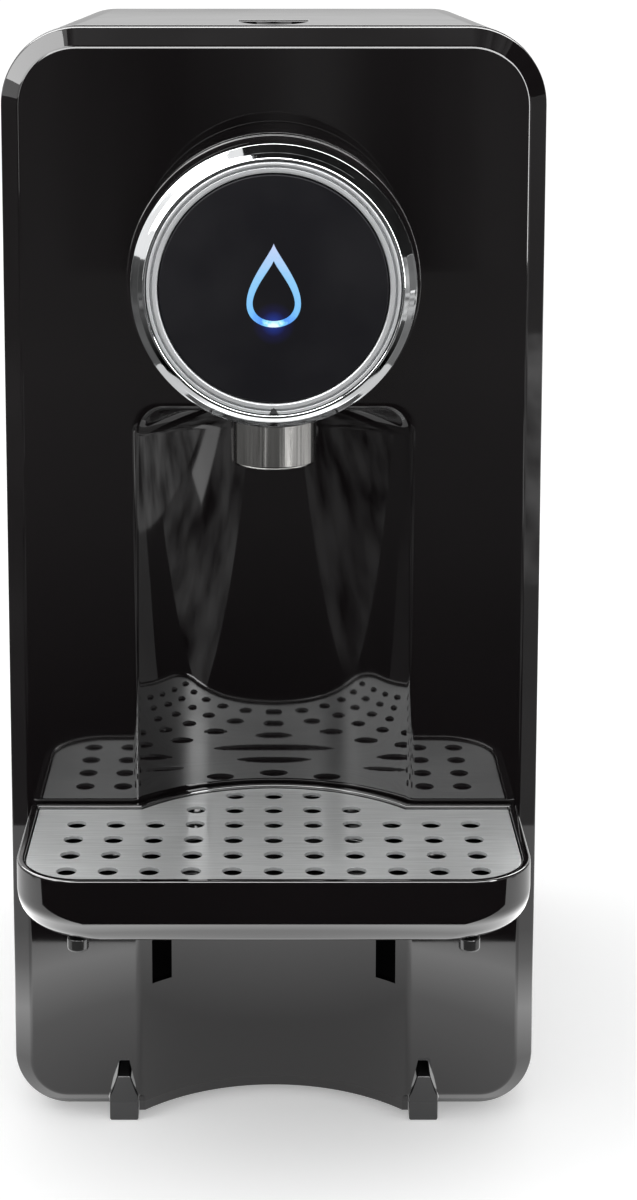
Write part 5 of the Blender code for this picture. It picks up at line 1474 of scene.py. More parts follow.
@dataclass
class Wrap(Assembly):
    """The body shell with its thumb scoop, and the rear cover, cord gland and pads."""

    scoop_half: float = 0.0105
    scoop_long: float = 0.041
    scoop_depth: float = 0.0065
    scoop_wall: float = 0.002
    scoop_rim: float = 0.0007
    plate_half: float = 0.060
    plate_front: float = -0.036
    plate_gap: float = 0.008
    cover_inset: float = 0.003
    scoop_keep: Place = (0.03, 0.0008, 0.02)
    scoop_edges: Point = (0.012, -0.047)
    scoop_sharp: float = 0.3
    front_round: float = 0.0006
    front_sharp: float = 1.0
    room_half: float = 0.1
    cover_corner: float = 0.0142
    cover_round: float = 0.0003
    vent_wide: float = 0.003
    vent_tall: float = 0.030
    vent_pitch: float = 0.008
    vents: int = 7
    gland: Point = (-0.052, 0.026)
    gland_hole: float = 0.0063
    gland_bore: float = 0.0035
    gland_neck: float = 0.0060
    gland_collar: float = 0.0080
    gland_nose: float = 0.0068
    gland_slope: Point = (0.45, 0.55)
    gland_round: float = 0.0005
    screws: int = 4
    screw_hole: float = 0.0018
    pad_rings: tuple[float, ...] = (0.10, 0.55, 0.62, 0.92)
    pad_dish: float = 0.0006
    pad_round: float = 0.0004

    def dish(self, name: str, grow: float) -> Piece:
        """The scoop's hollow: a quarter of a long flattened ball.

        Args:
            name: The form's name.
            grow: How much larger than the hollow it is.

        Returns:
            The form.
        """
        relax()
        place = (0.0, self.sizes.column_back, self.sizes.top)
        bpy.ops.mesh.primitive_uv_sphere_add(segments=64, ring_count=32, radius=1.0, location=place)
        form = named(name)
        reaches = (self.scoop_half, self.scoop_long, self.scoop_depth)
        with editing(form):
            choose_all()
            resize([reach + grow for reach in reaches], place)
        return form

    def round_scoop(self, a: Vector, b: Vector, angle: float) -> bool:
        """Whether an edge runs round the scoop's mouth in the shell's top.

        Args:
            a: One end of the edge.
            b: Its other end.
            angle: The angle between its faces.

        Returns:
            True if it does.
        """
        top, back = self.sizes.top - NEAR, self.sizes.column_back
        across, front = self.scoop_edges
        return (
            angle > self.scoop_sharp
            and min(a.z, b.z) > top
            and abs(a.x) < across
            and max(a.y, b.y) > front
            and max(abs(a.y - back), abs(b.y - back)) >= NEAR
        )

    def make_shell(self) -> None:
        """Model the wrap: an outline stretched back, hollowed and opened for the tank."""
        sizes = self.sizes
        shell = sizes.outline("body_wrap", 0.0, sizes.shell_front)
        stretch(shell, (0.0, sizes.back_y - sizes.shell_front, 0.0))
        round_edges(
            shell,
            self.front_round,
            4,
            lambda a, b, angle: angle > self.front_sharp and abs(a.y - b.y) < NEAR,
        )
        hollow = sizes.outline("wrap_hollow", sizes.wall, sizes.shell_front - sizes.over)
        stretch(hollow, (0.0, sizes.back_y - sizes.shell_front + 2 * sizes.over, 0.0))
        combine(shell, Blend.CUT, hollow)
        wall = self.dish("scoop_wall", self.scoop_wall)
        half, gap, deep = self.scoop_keep
        keep = block(
            "scoop_keep",
            (-half, sizes.shell_front + gap, sizes.top - deep),
            (half, sizes.column_back, sizes.top - sizes.wall / 2),
        )
        combine(wall, Blend.SHARE, keep)
        combine(shell, Blend.JOIN, wall)
        tank_room = block(
            "tank_room",
            (-self.room_half, sizes.column_back, sizes.deck_top),
            (self.room_half, sizes.back_y + sizes.over, sizes.top + sizes.over),
        )
        liner_room = rod(
            "liner_room",
            sizes.recess_radius + sizes.wall + sizes.fit,
            (0.0, sizes.recess_centre, sizes.floor - sizes.over),
            (0.0, sizes.recess_centre, sizes.floor + sizes.bottom_radius),
            128,
        )
        opening = block(
            "base_opening",
            (-self.plate_half - sizes.fit, self.plate_front - sizes.fit, sizes.floor - sizes.over),
            (
                self.plate_half + sizes.fit,
                sizes.back_y - self.plate_gap + sizes.fit,
                sizes.floor + sizes.wall + sizes.fit,
            ),
        )
        combine(shell, Blend.CUT, tank_room, liner_room, opening, self.dish("scoop", 0.0))
        round_edges(shell, self.scoop_rim, 4, self.round_scoop)
        self.done(shell, "base", "gloss", "body_shell")

    def make_cover(self) -> None:
        """Model the vented rear cover with round-ended vents."""
        sizes = self.sizes
        low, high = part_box("rear_cover")
        cover = plate("vented_cover", (low.x, low.z), (high.x, high.z), high.y)
        waist = (low.z + high.z) / 2
        round_corners(cover, self.cover_corner, 16, lambda p: p.z < waist)
        stretch(cover, (0.0, low.y - high.y, 0.0))
        middle = (sizes.floor + sizes.deck_top) / 2
        wide, tall = self.vent_wide, self.vent_tall
        for step in range(self.vents):
            across = (step - (self.vents - 1) / 2) * self.vent_pitch
            vent = plate(
                "vent",
                (across - wide / 2, middle - tall / 2),
                (across + wide / 2, middle + tall / 2),
                high.y + sizes.over,
            )
            round_corners(vent, wide / 2 * NEARLY, 8, lambda p: True)
            stretch(vent, (0.0, -3 * sizes.over, 0.0))
            combine(cover, Blend.CUT, vent)
        x, z = self.gland
        ends = (x, low.y - sizes.over, z), (x, high.y + sizes.over, z)
        combine(cover, Blend.CUT, rod("gland_hole", self.gland_hole, *ends))
        for index in range(self.screws):
            screw_low, screw_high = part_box(f"cover_screw_{index + 1}")
            x, z = (screw_low.x + screw_high.x) / 2, (screw_low.z + screw_high.z) / 2
            ends = (x, low.y - 2 * sizes.over, z), (x, high.y + 2 * sizes.over, z)
            combine(cover, Blend.CUT, rod("screw_hole", self.screw_hole, *ends, 24))
        soften(cover, self.cover_round, 2, 40.0)
        self.done(cover, "base", "satin", "rear_cover")

    def make_gland(self) -> None:
        """Model the mains gland with its ribbed collar and open bore."""
        low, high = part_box("mains_gland")
        outer = self.sizes.back_y - self.cover_inset
        reach, behind = high.y - outer, low.y - outer
        centre = (self.gland[0], outer, self.gland[1])
        seat = self.sizes.fit
        thick, thin = self.gland_slope
        profile = rounded_path(
            [
                (self.gland_bore, behind), (self.gland_neck, behind),
                (self.gland_neck, seat), (self.gland_collar, seat),
                (self.gland_collar, reach * thick), (self.gland_nose, reach * thin),
                (self.gland_nose, reach), (self.gland_bore, reach),
            ],
            self.gland_round,
        )
        gland = turned("cord_gland", profile, centre, Axis.Y, 64, Ends.LOOP)
        self.done(gland, "base", "rubber", "mains_gland")

    def make_pads(self) -> None:
        """Model the two rear pads with their dished soles."""
        for side in ("left", "right"):
            centre, radius, foot, top = upright(f"rear_foot_{side}")
            core, dish, lip, edge = (radius * share for share in self.pad_rings)
            profile = rounded_path(
                [
                    (core, self.pad_dish), (dish, self.pad_dish), (lip, foot),
                    (edge, foot), (radius, top / 2), (radius, top), (core, top),
                ],
                self.pad_round,
            )
            pad = turned(f"rear_pad_{side}", profile, centre, Axis.Z, 64)
            self.done(pad, "base", "rubber", f"rear_foot_{side}")

    def make(self) -> None:
        """Model every piece of the wrap."""
        self.make_shell()
        self.make_cover()
        self.make_gland()
        self.make_pads()


@dataclass
class Lid(Assembly):
    """The tank's full-width lid with its hinge cheeks and finger slot."""

    seam: float = 0.3108
    hinge: Point = (0.1135, 0.3105)
    skirt: float = 0.007
    cheek_rise: float = 0.0015
    edge: float = 0.0012
    sharp: float = 0.9
    corner_steps: int = 20
    slot_half: float = 0.007
    slot_drop: float = 0.0065
    slot_corner: float = 0.0012
    eye_place: float = 0.060
    eye_wide: float = 0.005
    eye_radius: float = 0.0035
    eye_rise: float = 0.0070
    eye_back: float = 0.00125
    bore: float = 0.00195
    bore_half: float = 0.065

    def eye(self, sign: int) -> Piece:
        """One hinge eye that grows out of the lid's back wall.

        Args:
            sign: -1 for the eye on the left and 1 for the one on the right.

        Returns:
            The eye.
        """
        y, z = self.hinge
        inner = self.eye_place - self.sizes.fit
        low_x, high_x = sorted((sign * inner, sign * (inner - self.eye_wide)))
        form = block(
            "lid_eye",
            (low_x, y, z - self.eye_radius),
            (high_x, self.sizes.back_y - self.eye_back, z + self.eye_rise),
        )
        head = rod("lid_eye_head", self.eye_radius, (low_x, y, z), (high_x, y, z), 40)
        return combine(form, Blend.JOIN, head)

    def make(self) -> None:
        """Model the lid."""
        sizes = self.sizes
        front = sizes.column_back + sizes.fit
        lid = plate("tank_cap", (-sizes.half, self.seam), (sizes.half, sizes.top), front)
        round_corners(lid, sizes.top_radius, self.corner_steps, lambda p: p.z > sizes.top - NEAR)
        stretch(lid, (0.0, sizes.back_y - front, 0.0))
        y, z = self.hinge
        near, low = y - self.skirt, z - self.skirt
        cheeks = block(
            "cheeks",
            (-sizes.half, near, low),
            (sizes.half, sizes.back_y, z + self.cheek_rise),
        )
        round_edges(
            cheeks,
            self.skirt * NEARLY,
            10,
            lambda a, b, angle: max(a.y, b.y) < near + NEAR and max(a.z, b.z) < low + NEAR,
        )
        combine(lid, Blend.JOIN, cheeks)
        round_edges(
            lid,
            self.edge / 2,
            4,
            lambda a, b, angle: angle > self.sharp
            and (min(a.y, b.y) > sizes.back_y - NEAR or max(a.y, b.y) < front + NEAR),
        )
        ceiling = sizes.top - sizes.wall
        inside = plate(
            "lid_inside",
            (-sizes.half + sizes.wall, low - sizes.over),
            (sizes.half - sizes.wall, ceiling),
            front + sizes.wall,
        )
        inner_radius = sizes.top_radius - sizes.wall
        round_corners(inside, inner_radius, self.corner_steps, lambda p: p.z > ceiling - NEAR)
        stretch(inside, (0.0, sizes.back_y - front - 2 * sizes.wall, 0.0))
        slot = plate(
            "finger_slot",
            (-self.slot_half, sizes.top - self.slot_drop),
            (self.slot_half, ceiling - sizes.fit),
            front - sizes.over,
        )
        round_corners(slot, self.slot_corner, 6, lambda p: True)
        stretch(slot, (0.0, sizes.wall + 2 * sizes.over, 0.0))
        combine(lid, Blend.CUT, inside, slot)
        combine(lid, Blend.JOIN, self.eye(-1), self.eye(1))
        bore = rod("hinge_bore", self.bore, (-self.bore_half, y, z), (self.bore_half, y, z), 24)
        combine(lid, Blend.CUT, bore)
        self.done(lid, "lid", "gloss", "tank_lid")


@dataclass
class SpoutDrum(Assembly):
    """The round drum on the panel and the steel nozzle under it."""

    radius: float = 0.0402
    long: float = 0.045
    edge: float = 0.0015
    groove: Point = (0.0052, 0.0062)
    groove_deep: float = 0.0007
    neck_long: float = 0.0022
    neck_deep: float = 0.0012
    opening: float = 0.014
    reach: float = 0.0285
    nozzle_radius: float = 0.012
    flange: float = 0.0016
    flange_thick: float = 0.0018
    barb: Point = (0.003, 0.009)
    barb_bore: float = 0.0015
    nozzle_low: float = 0.2138
    nozzle_wall: float = 0.0022
    nozzle_chamfer: Point = (0.0005, 0.0006)
    nozzle_round: float = 0.0003

    def make(self) -> None:
        """Model the drum and the nozzle."""
        sizes = self.sizes
        centre = (0.0, sizes.panel_y, sizes.dial_z)
        radius, long, opening = self.radius, self.long, self.opening
        inner, inside = radius - sizes.wall, long - sizes.wall
        near, far = (long - place for place in self.groove)
        floor, neck = radius - self.groove_deep, radius - self.neck_deep
        outside = rounded_path(
            [
                (opening, long), (radius, long), (radius, near), (floor, near),
                (floor, far), (radius, far), (radius, self.neck_long),
                (neck, self.neck_long), (neck, sizes.fit), (inner, sizes.fit),
                (inner, inside), (opening, inside),
            ],
            self.edge / 3,
        )
        drum = turned("spout_drum", outside, centre, Axis.FRONT, 128, Ends.LOOP)
        hole = rod(
            "nozzle_hole",
            self.nozzle_radius + sizes.fit,
            (0.0, sizes.panel_y - self.reach, sizes.dial_z - self.radius - sizes.over),
            (0.0, sizes.panel_y - self.reach, sizes.dial_z - self.radius / 2),
            64,
        )
        combine(drum, Blend.CUT, hole)
        self.done(drum, "base", "gloss", "spout_housing")
        self.make_nozzle()

    def make_nozzle(self) -> None:
        """Model the nozzle with its flange, barb and rolled rim."""
        sizes = self.sizes
        inner_drum = self.radius - sizes.wall
        radius, rim = self.nozzle_radius, self.nozzle_low
        edge = radius + self.flange
        low = sizes.dial_z - math.sqrt(inner_drum**2 - edge**2) + sizes.fit
        high = low + self.flange_thick
        inner = radius - self.nozzle_wall
        stem, rise = self.barb
        across, up = self.nozzle_chamfer
        profile = rounded_path(
            [
                (stem, high + rise), (stem, high), (edge, high), (edge, low),
                (radius, low), (radius, rim + up), (radius - across, rim), (inner, rim),
                (inner, low), (self.barb_bore, low), (self.barb_bore, high + rise),
            ],
            self.nozzle_round,
        )
        centre = (0.0, sizes.panel_y - self.reach, 0.0)
        nozzle = turned("steel_nozzle", profile, centre, Axis.Z, 96, Ends.LOOP)
        self.done(nozzle, "base", "turned_steel", "nozzle")


@dataclass
class Dial(Assembly):
    """The chrome ring, the satin index ring and the button with its lit drop."""

    base: float = 0.0453
    front: float = 0.0588
    web: Point = (0.0016, 0.0036)
    web_inner: float = 0.0293
    seat: float = 0.0331
    gap: float = 0.0003
    proud: float = 0.004
    ring_radius: float = 0.0385
    ring_round: float = 0.00025
    face_radius: float = 0.0346
    index_radius: float = 0.0341
    index_inner: float = 0.0311
    index_chamfer: float = 0.0004
    index_round: float = 0.00015
    notch: float = 0.0012
    groove: Point = (0.0325, 0.0332)
    groove_deep: float = 0.0016
    groove_slope: float = 0.0001
    mark_half: float = 0.0014
    mark_tall: float = 0.0020
    mark_gap: float = 0.00005
    mark_sink: float = 0.0002
    button_radius: float = 0.0308
    button_thick: float = 0.0025
    button_round: float = 0.00025
    skirt_radius: float = 0.0267
    skirt_wall: float = 0.002
    stem_radius: float = 0.004
    stem_end: float = 0.0066
    stem_core: float = 0.0005
    spring_radius: float = 0.0085
    spring_wire: float = 0.0006
    spring_turns: int = 3
    spring_steps: int = 24
    spring_sides: int = 8
    spring_gap: float = 0.0001
    press: float = 0.0014
    drop_half: float = 0.00725
    drop_rise: float = 0.0121
    drop_fall: float = 0.0103
    drop_line: float = 0.0016
    drop_tip: float = 0.0044
    drop_power: float = 1.5
    drop_gap: float = 0.0001
    drop_round: float = 0.00012
    inlay: float = 0.0012

    @property
    def centre(self) -> Place:
        """The dial's axis where it crosses the panel."""
        return (0.0, self.sizes.panel_y, self.sizes.dial_z)

    def make_rings(self) -> None:
        """Model the chrome ring and the index ring inside it."""
        base, front, gap = self.base, self.front, self.gap
        web_low, web_high = (base + height for height in self.web)
        lip, face = self.ring_radius, self.face_radius
        ring_profile = rounded_path(
            [
                (self.index_radius + gap, web_high), (self.index_radius + gap, front),
                (face + 0.0004, front), (face + 0.0018, front - 0.0010),
                (lip - 0.0006, front - 0.0032), (lip, front - 0.0040), (lip, base),
                (self.seat, base), (self.seat, web_low), (self.web_inner, web_low),
                (self.web_inner, web_high),
            ],
            self.ring_round,
        )
        ring = turned("chrome_ring", ring_profile, self.centre, Axis.FRONT, 144, Ends.LOOP)
        self.done(ring, "dial", "chrome", "dial_ring", angle=20.0)
        groove_in, groove_out = self.groove
        slope, floor = self.groove_slope, front - self.groove_deep
        index_profile = rounded_path(
            [
                (self.index_inner, web_high + gap), (self.index_inner, front - gap),
                (self.index_inner + self.index_chamfer, front), (groove_in, front),
                (groove_in + slope, floor), (groove_out - slope, floor),
                (groove_out, front), (self.index_radius - gap, front),
                (self.index_radius, front - gap), (self.index_radius, web_high + gap),
            ],
            self.index_round,
        )
        index = turned(
            "satin_index_ring", index_profile, self.centre, Axis.FRONT, 144, Ends.LOOP
        )
        combine(index, Blend.CUT, self.index_mark("index_notch", 0.0, self.proud))
        self.done(index, "dial", "ring_steel", "index_ring")
        inlay = self.index_mark("index_inlay", self.mark_gap, -self.mark_sink)
        self.done(inlay, "dial", "satin")

    def index_mark(self, name: str, inset: float, proud: float) -> Piece:
        """The triangular mark at the foot of the index ring, as a solid.

        Args:
            name: The form's name.
            inset: How much smaller than the notch it is.
            proud: How far it stands out of the ring's face.

        Returns:
            The form.
        """
        foot = self.sizes.dial_z - self.index_radius + inset
        tip = foot + self.mark_tall - 2 * inset
        face = self.sizes.panel_y - self.front
        half = self.mark_half - inset
        reach = 0.002 if inset == 0.0 else -0.0001
        slope = half / (tip - foot)
        half += reach * slope
        mark = plate(name, (-half, foot - reach), (half, tip), face - proud)
        with editing(mark):
            choose(mark, Pick.VERT, lambda p: p.z > tip - NEAR)
            bpy.ops.mesh.merge(type="CENTER")
        stretch(mark, (0.0, proud + self.notch - inset, 0.0))
        return mark

    def drop(self, name: str, half: float, top: float, bottom: float, edges: Point) -> Piece:
        """A drop-shaped solid, pointed at the top.

        Args:
            name: The form's name.
            half: Half its width.
            top: Its tip above the dial's centre.
            bottom: Its foot above the dial's centre.
            edges: Where it starts and ends along Y.

        Returns:
            The form, a filled circle whose points are moved onto the drop's line.
        """
        relax()
        bpy.ops.mesh.primitive_circle_add(
            vertices=120, radius=0.01, fill_type="NGON", rotation=Axis.FRONT.turn
        )
        form = named(name)
        power = self.drop_power
        widest = max(math.sin(t / 100) * math.sin(t / 200) ** power for t in range(1, 314))
        reach, middle = (top - bottom) / 2, (top + bottom) / 2
        centre = self.sizes.dial_z + middle
        for vert in form.data.vertices:
            turn = math.atan2(vert.co.x, vert.co.z)
            swell = math.sin(turn) * abs(math.sin(turn / 2)) ** power
            vert.co = (half * swell / widest, edges[0], centre + reach * math.cos(turn))
        stretch(form, (0.0, edges[1] - edges[0], 0.0))
        return form

    def drop_line_form(self, name: str, grow: float, edges: Point) -> Piece:
        """The drop's line: one drop with a smaller one cut out of it.

        Args:
            name: The form's name.
            grow: How much wider than the line it is on each side.
            edges: Where it starts and ends along Y.

        Returns:
            The form.
        """
        foot = -self.drop_fall
        outer = self.drop(
            name, self.drop_half + grow, self.drop_rise + 2 * grow, foot - grow, edges
        )
        inner = self.drop(
            "drop_inside",
            self.drop_half - self.drop_line - grow,
            self.drop_rise - self.drop_tip - 2 * grow,
            foot + self.drop_line + grow,
            (edges[0] - 0.001, edges[1] + 0.001),
        )
        return combine(outer, Blend.CUT, inner)

    def make_button(self) -> None:
        """Model the button's disc with its skirt and stem, and the lit drop in its face."""
        front, gap = self.front, self.gap
        face_y = self.sizes.panel_y - front
        back = front - self.button_thick
        stem = self.base + self.stem_end
        skirt, core = self.skirt_radius, self.stem_core
        profile = rounded_path(
            [
                (core, front), (self.button_radius - gap, front),
                (self.button_radius, front - gap), (self.button_radius, back),
                (skirt, back), (skirt, stem), (skirt - self.skirt_wall, stem),
                (skirt - self.skirt_wall, back), (self.stem_radius, back),
                (self.stem_radius, stem), (core, stem),
            ],
            self.button_round,
        )
        button = turned("button_disc", profile, self.centre, Axis.FRONT, 144)
        foot = face_y + self.inlay
        reach = (face_y - self.proud, foot + 2 * self.drop_gap)
        groove = self.drop_line_form("drop_groove", self.drop_gap, reach)
        combine(button, Blend.CUT, groove)
        self.done(button, "button", "button", "brew_button")
        guide = self.drop_line_form("lit_drop_line", 0.0, (face_y + self.drop_gap / 2, foot))
        soften(guide, self.drop_round, 2, 50.0)
        self.done(guide, "button", "lamp", "drop_light_guide")

    def make_spring(self) -> None:
        """Model the spring behind the button."""
        wire, clear = self.spring_wire, self.spring_wire + self.spring_gap
        low = self.base + self.web[0] + clear
        high = self.front - self.button_thick - clear
        across, face, up = self.centre
        steps = self.spring_steps * self.spring_turns
        rings = []
        for step in range(steps + 1):
            angle = math.tau * self.spring_turns * step / steps
            place = face - low - (high - low) * step / steps
            ring = []
            for side in range(self.spring_sides):
                bend = math.tau * side / self.spring_sides
                out = self.spring_radius + wire * math.cos(bend)
                x, z = across + out * math.cos(angle), up + out * math.sin(angle)
                ring.append((x, place + wire * math.sin(bend), z))
            rings.append(ring)
        spring = loft("button_coil", rings)
        self.done(spring, "base", "zinc", "button_spring", angle=60.0)
        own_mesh(spring)

    def make(self) -> None:
        """Model the whole dial."""
        self.make_rings()
        self.make_button()
        self.make_spring()


@dataclass
class DripTray(Assembly):
    """The drip tray, its punched plate and its two feet."""

    half: float = 0.0728
    reach: float = 0.060
    top: float = 0.1025
    tall: float = 0.020
    wall: float = 0.0022
    corner: float = 0.019
    edge: Point = (0.008, 0.012)
    flare: float = 0.4
    tail: float = 0.002
    tail_least: float = 0.0003
    clear: float = 0.001
    ledge: float = 0.0015
    basin_slope: float = 0.003
    rim_round: float = 0.0006
    sink: float = 0.001
    thick: float = 0.001
    fold: float = 0.003
    fold_round: float = 0.0004
    plate_round: float = 0.00018
    hole_radius: float = 0.00285
    pitch: float = 0.0116
    first_row: float = 0.0097
    across: int = 11
    rows: int = 4
    tongue_place: float = 0.0343
    tongue_half: float = 0.0025
    pocket_z: Point = (0.087, 0.096)
    pocket_front: float = 0.0063
    pocket_wall: float = 0.0015
    pocket_back: float = 0.0022
    pocket_rise: float = 0.004
    foot_rise: float = 0.0015
    foot_chamfer: float = 0.0006
    foot_core: float = 0.0004
    steps: int = 14

    def outline(self, inset: float, flare: float = -1.0) -> list[Point]:
        """The tray's plan outline, which swells into the recess.

        Args:
            inset: How far the outline is drawn in.
            flare: By what share of the inset the front corners grow.

        Returns:
            The outline's points, counter-clockwise from the front.
        """
        sizes = self.sizes
        back = sizes.panel_y - self.clear - inset
        swell = sizes.recess_radius - self.clear - inset
        meet = math.sqrt(swell**2 - (back - sizes.recess_centre) ** 2)
        half = self.half - inset
        front = sizes.panel_y - self.reach + inset
        nose = self.corner + flare * inset
        tail = max(self.tail - inset, self.tail_least)
        turn = math.degrees(math.atan2(back - sizes.recess_centre, meet))
        return [
            *arc((half - nose, front + nose), nose, -90, 0, self.steps),
            *arc((half - tail, back - tail), tail, 0, 90, 4),
            *arc((0.0, sizes.recess_centre), swell, turn, 180 - turn, 2 * self.steps),
            *arc((-half + tail, back - tail), tail, 90, 180, 4),
            *arc((-half + nose, front + nose), nose, 180, 270, self.steps),
        ]

    def rings(self) -> list[list[Place]]:
        """The tray's wall as outlines from the underside over the rim to the basin.

        Returns:
            The outlines in order, as points in space.
        """
        low, top = self.top - self.tall, self.top
        seat = top - self.sink - self.thick - self.sizes.fit
        draw, rise = self.edge
        lower = []
        for degrees in range(0, 91, 6):
            turn = math.radians(degrees)
            lower.append((draw * (1 - math.sin(turn)), low + rise * (1 - math.cos(turn))))
        basin_floor, inner = low + self.sizes.wall, self.wall + self.ledge
        upper = rounded_path(
            [
                lower[-1],
                (0.0, top), (self.wall, top), (self.wall, seat), (inner, seat),
                (inner, basin_floor + self.basin_slope),
                (inner + self.basin_slope, basin_floor),
            ],
            self.rim_round,
        )
        under = [[(x, y, z) for x, y in self.outline(inset, self.flare)] for inset, z in lower]
        return under + [[(x, y, z) for x, y in self.outline(inset)] for inset, z in upper[1:]]

    def make_basin(self) -> None:
        """Model the tray by drawing its outline along its section, with two pockets."""
        sizes = self.sizes
        tray = loft("tray_basin", self.rings())
        half = self.tongue_half + sizes.fit
        wall = self.pocket_wall
        pocket_low, pocket_top = self.pocket_z[0] - sizes.fit, self.pocket_z[1] + sizes.fit
        front = sizes.panel_y - self.pocket_front
        for sign in (-1, 1):
            x = sign * self.tongue_place
            side = (sizes.recess_radius - self.clear) ** 2 - (x - sign * half) ** 2
            back = sizes.recess_centre + math.sqrt(side)
            outer = block(
                "pocket_block",
                (x - half - wall, front - wall, self.top - self.tall + self.pocket_rise),
                (x + half + wall, back - self.pocket_back, pocket_top + wall),
            )
            pocket = block(
                "pocket", (x - half, front, pocket_low), (x + half, sizes.column_back, pocket_top)
            )
            combine(tray, Blend.JOIN, outer)
            combine(tray, Blend.CUT, pocket)
        self.done(tray, "tray", "tray", "drip_tray")

    def holes(self) -> list[Point]:
        """Where the plate's holes are.

        Returns:
            The middle of each hole, row by row from the front.
        """
        sizes = self.sizes
        edge = self.wall + sizes.fit + self.hole_radius + self.ledge
        swell = sizes.recess_radius - self.clear - edge
        places, row = [], 0
        while True:
            y = sizes.panel_y - self.reach + self.first_row + row * self.pitch
            reach = self.half - edge
            if row >= self.rows:
                left = swell**2 - (y - sizes.recess_centre) ** 2
                if left <= 0:
                    return places
                reach = min(math.sqrt(left), reach)
            for step in range(self.across):
                x = (step - (self.across - 1) / 2) * self.pitch
                if abs(x) <= reach:
                    places.append((x, y))
            row += 1

    def make_plate(self) -> None:
        """Model the steel plate: a folded-edge sheet punched with round holes."""
        high = self.top - self.sink
        low = high - self.thick
        inset = self.wall + self.sizes.fit
        inner = inset + self.fold
        section = rounded_path(
            [(inner, low), (inset, low), (inset, high), (inner, high)], self.fold_round
        )
        rings = [[(x, y, z) for x, y in self.outline(offset)] for offset, z in section]
        sheet = loft("punched_plate", rings)
        ends = (0.0, 0.0, low - self.fold), (0.0, 0.0, high + self.fold)
        punch = rod("punch", self.hole_radius, *ends, 32)
        first, *others = [copied(punch, "punch_copy", (x, y, 0.0)) for x, y in self.holes()]
        for twin in others:
            only(first)
            twin.select_set(True)
            bpy.ops.object.join()
        bpy.data.objects.remove(punch)
        combine(sheet, Blend.CUT, first)
        soften(sheet, self.plate_round, 2, 60.0)
        self.done(sheet, "plate", "steel", "drip_plate")

    def make_feet(self) -> None:
        """Model the two round feet under the tray."""
        core, chamfer = self.foot_core, self.foot_chamfer
        root = self.top - self.tall - self.sizes.fit
        for side in ("left", "right"):
            centre, radius, low, _ = upright(f"tray_foot_{side}")
            foot = low + self.foot_rise
            profile = rounded_path(
                [
                    (core, foot), (radius - chamfer, foot), (radius, foot + chamfer),
                    (radius, root), (core, root),
                ],
                self.fold_round,
            )
            peg = turned(f"tray_peg_{side}", profile, centre, Axis.Z, 48)
            self.done(peg, "tray", "peg", f"tray_foot_{side}")

    def make(self) -> None:
        """Model the whole tray."""
        self.make_basin()
        self.make_plate()
        self.make_feet()


@dataclass
class Works(Assembly):
    """The solids that keep their form, each given its finish."""

    finish_of: dict[str, str] = field(
        default_factory=lambda: {
            # tank_deck and tray_carriage take the matt black whose darker colour is painted shade.
            "tank_deck": "matt",
            "base_plate": "satin",
            "nozzle_outlet": "satin",
            "dial_hub": "satin",
            "dial_board": "board",
            "tray_carriage": "matt",
            "carriage_rod_left": "zinc",
            "carriage_rod_right": "zinc",
            "water_tank": "smoked",
            "lid_hinge_pin_left": "zinc",
            "lid_hinge_pin_right": "zinc",
            "tank_valve": "satin",
            "valve_poppet": "silicone",
            "valve_spring": "zinc",
            "tank_seal": "silicone",
            "tank_coupling": "satin",
            "pump_motor": "engine",
            "pump_head": "satin",
            "flow_heater": "cast",
            "thermostat": "satin",
            "thermal_fuse": "silicone",
            "hose_tank_to_pump": "silicone",
            "hose_pump_to_heater": "silicone",
            "hose_heater_to_spout": "silicone",
            "power_board": "board",
            "board_heat_sink": "cast",
        }
    )

    def make(self, nodes: dict[str, Piece]) -> None:
        """Repaint the carried-over solids.

        Args:
            nodes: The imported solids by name.
        """
        for name, node in nodes.items():
            key = self.finish_of.get(name)
            if key is None and "screw" in name:
                key = "zinc"
            if key is not None:
                self.finishes.repaint(node, key)
                LOG.info("%s: carried over in %s", name, key)


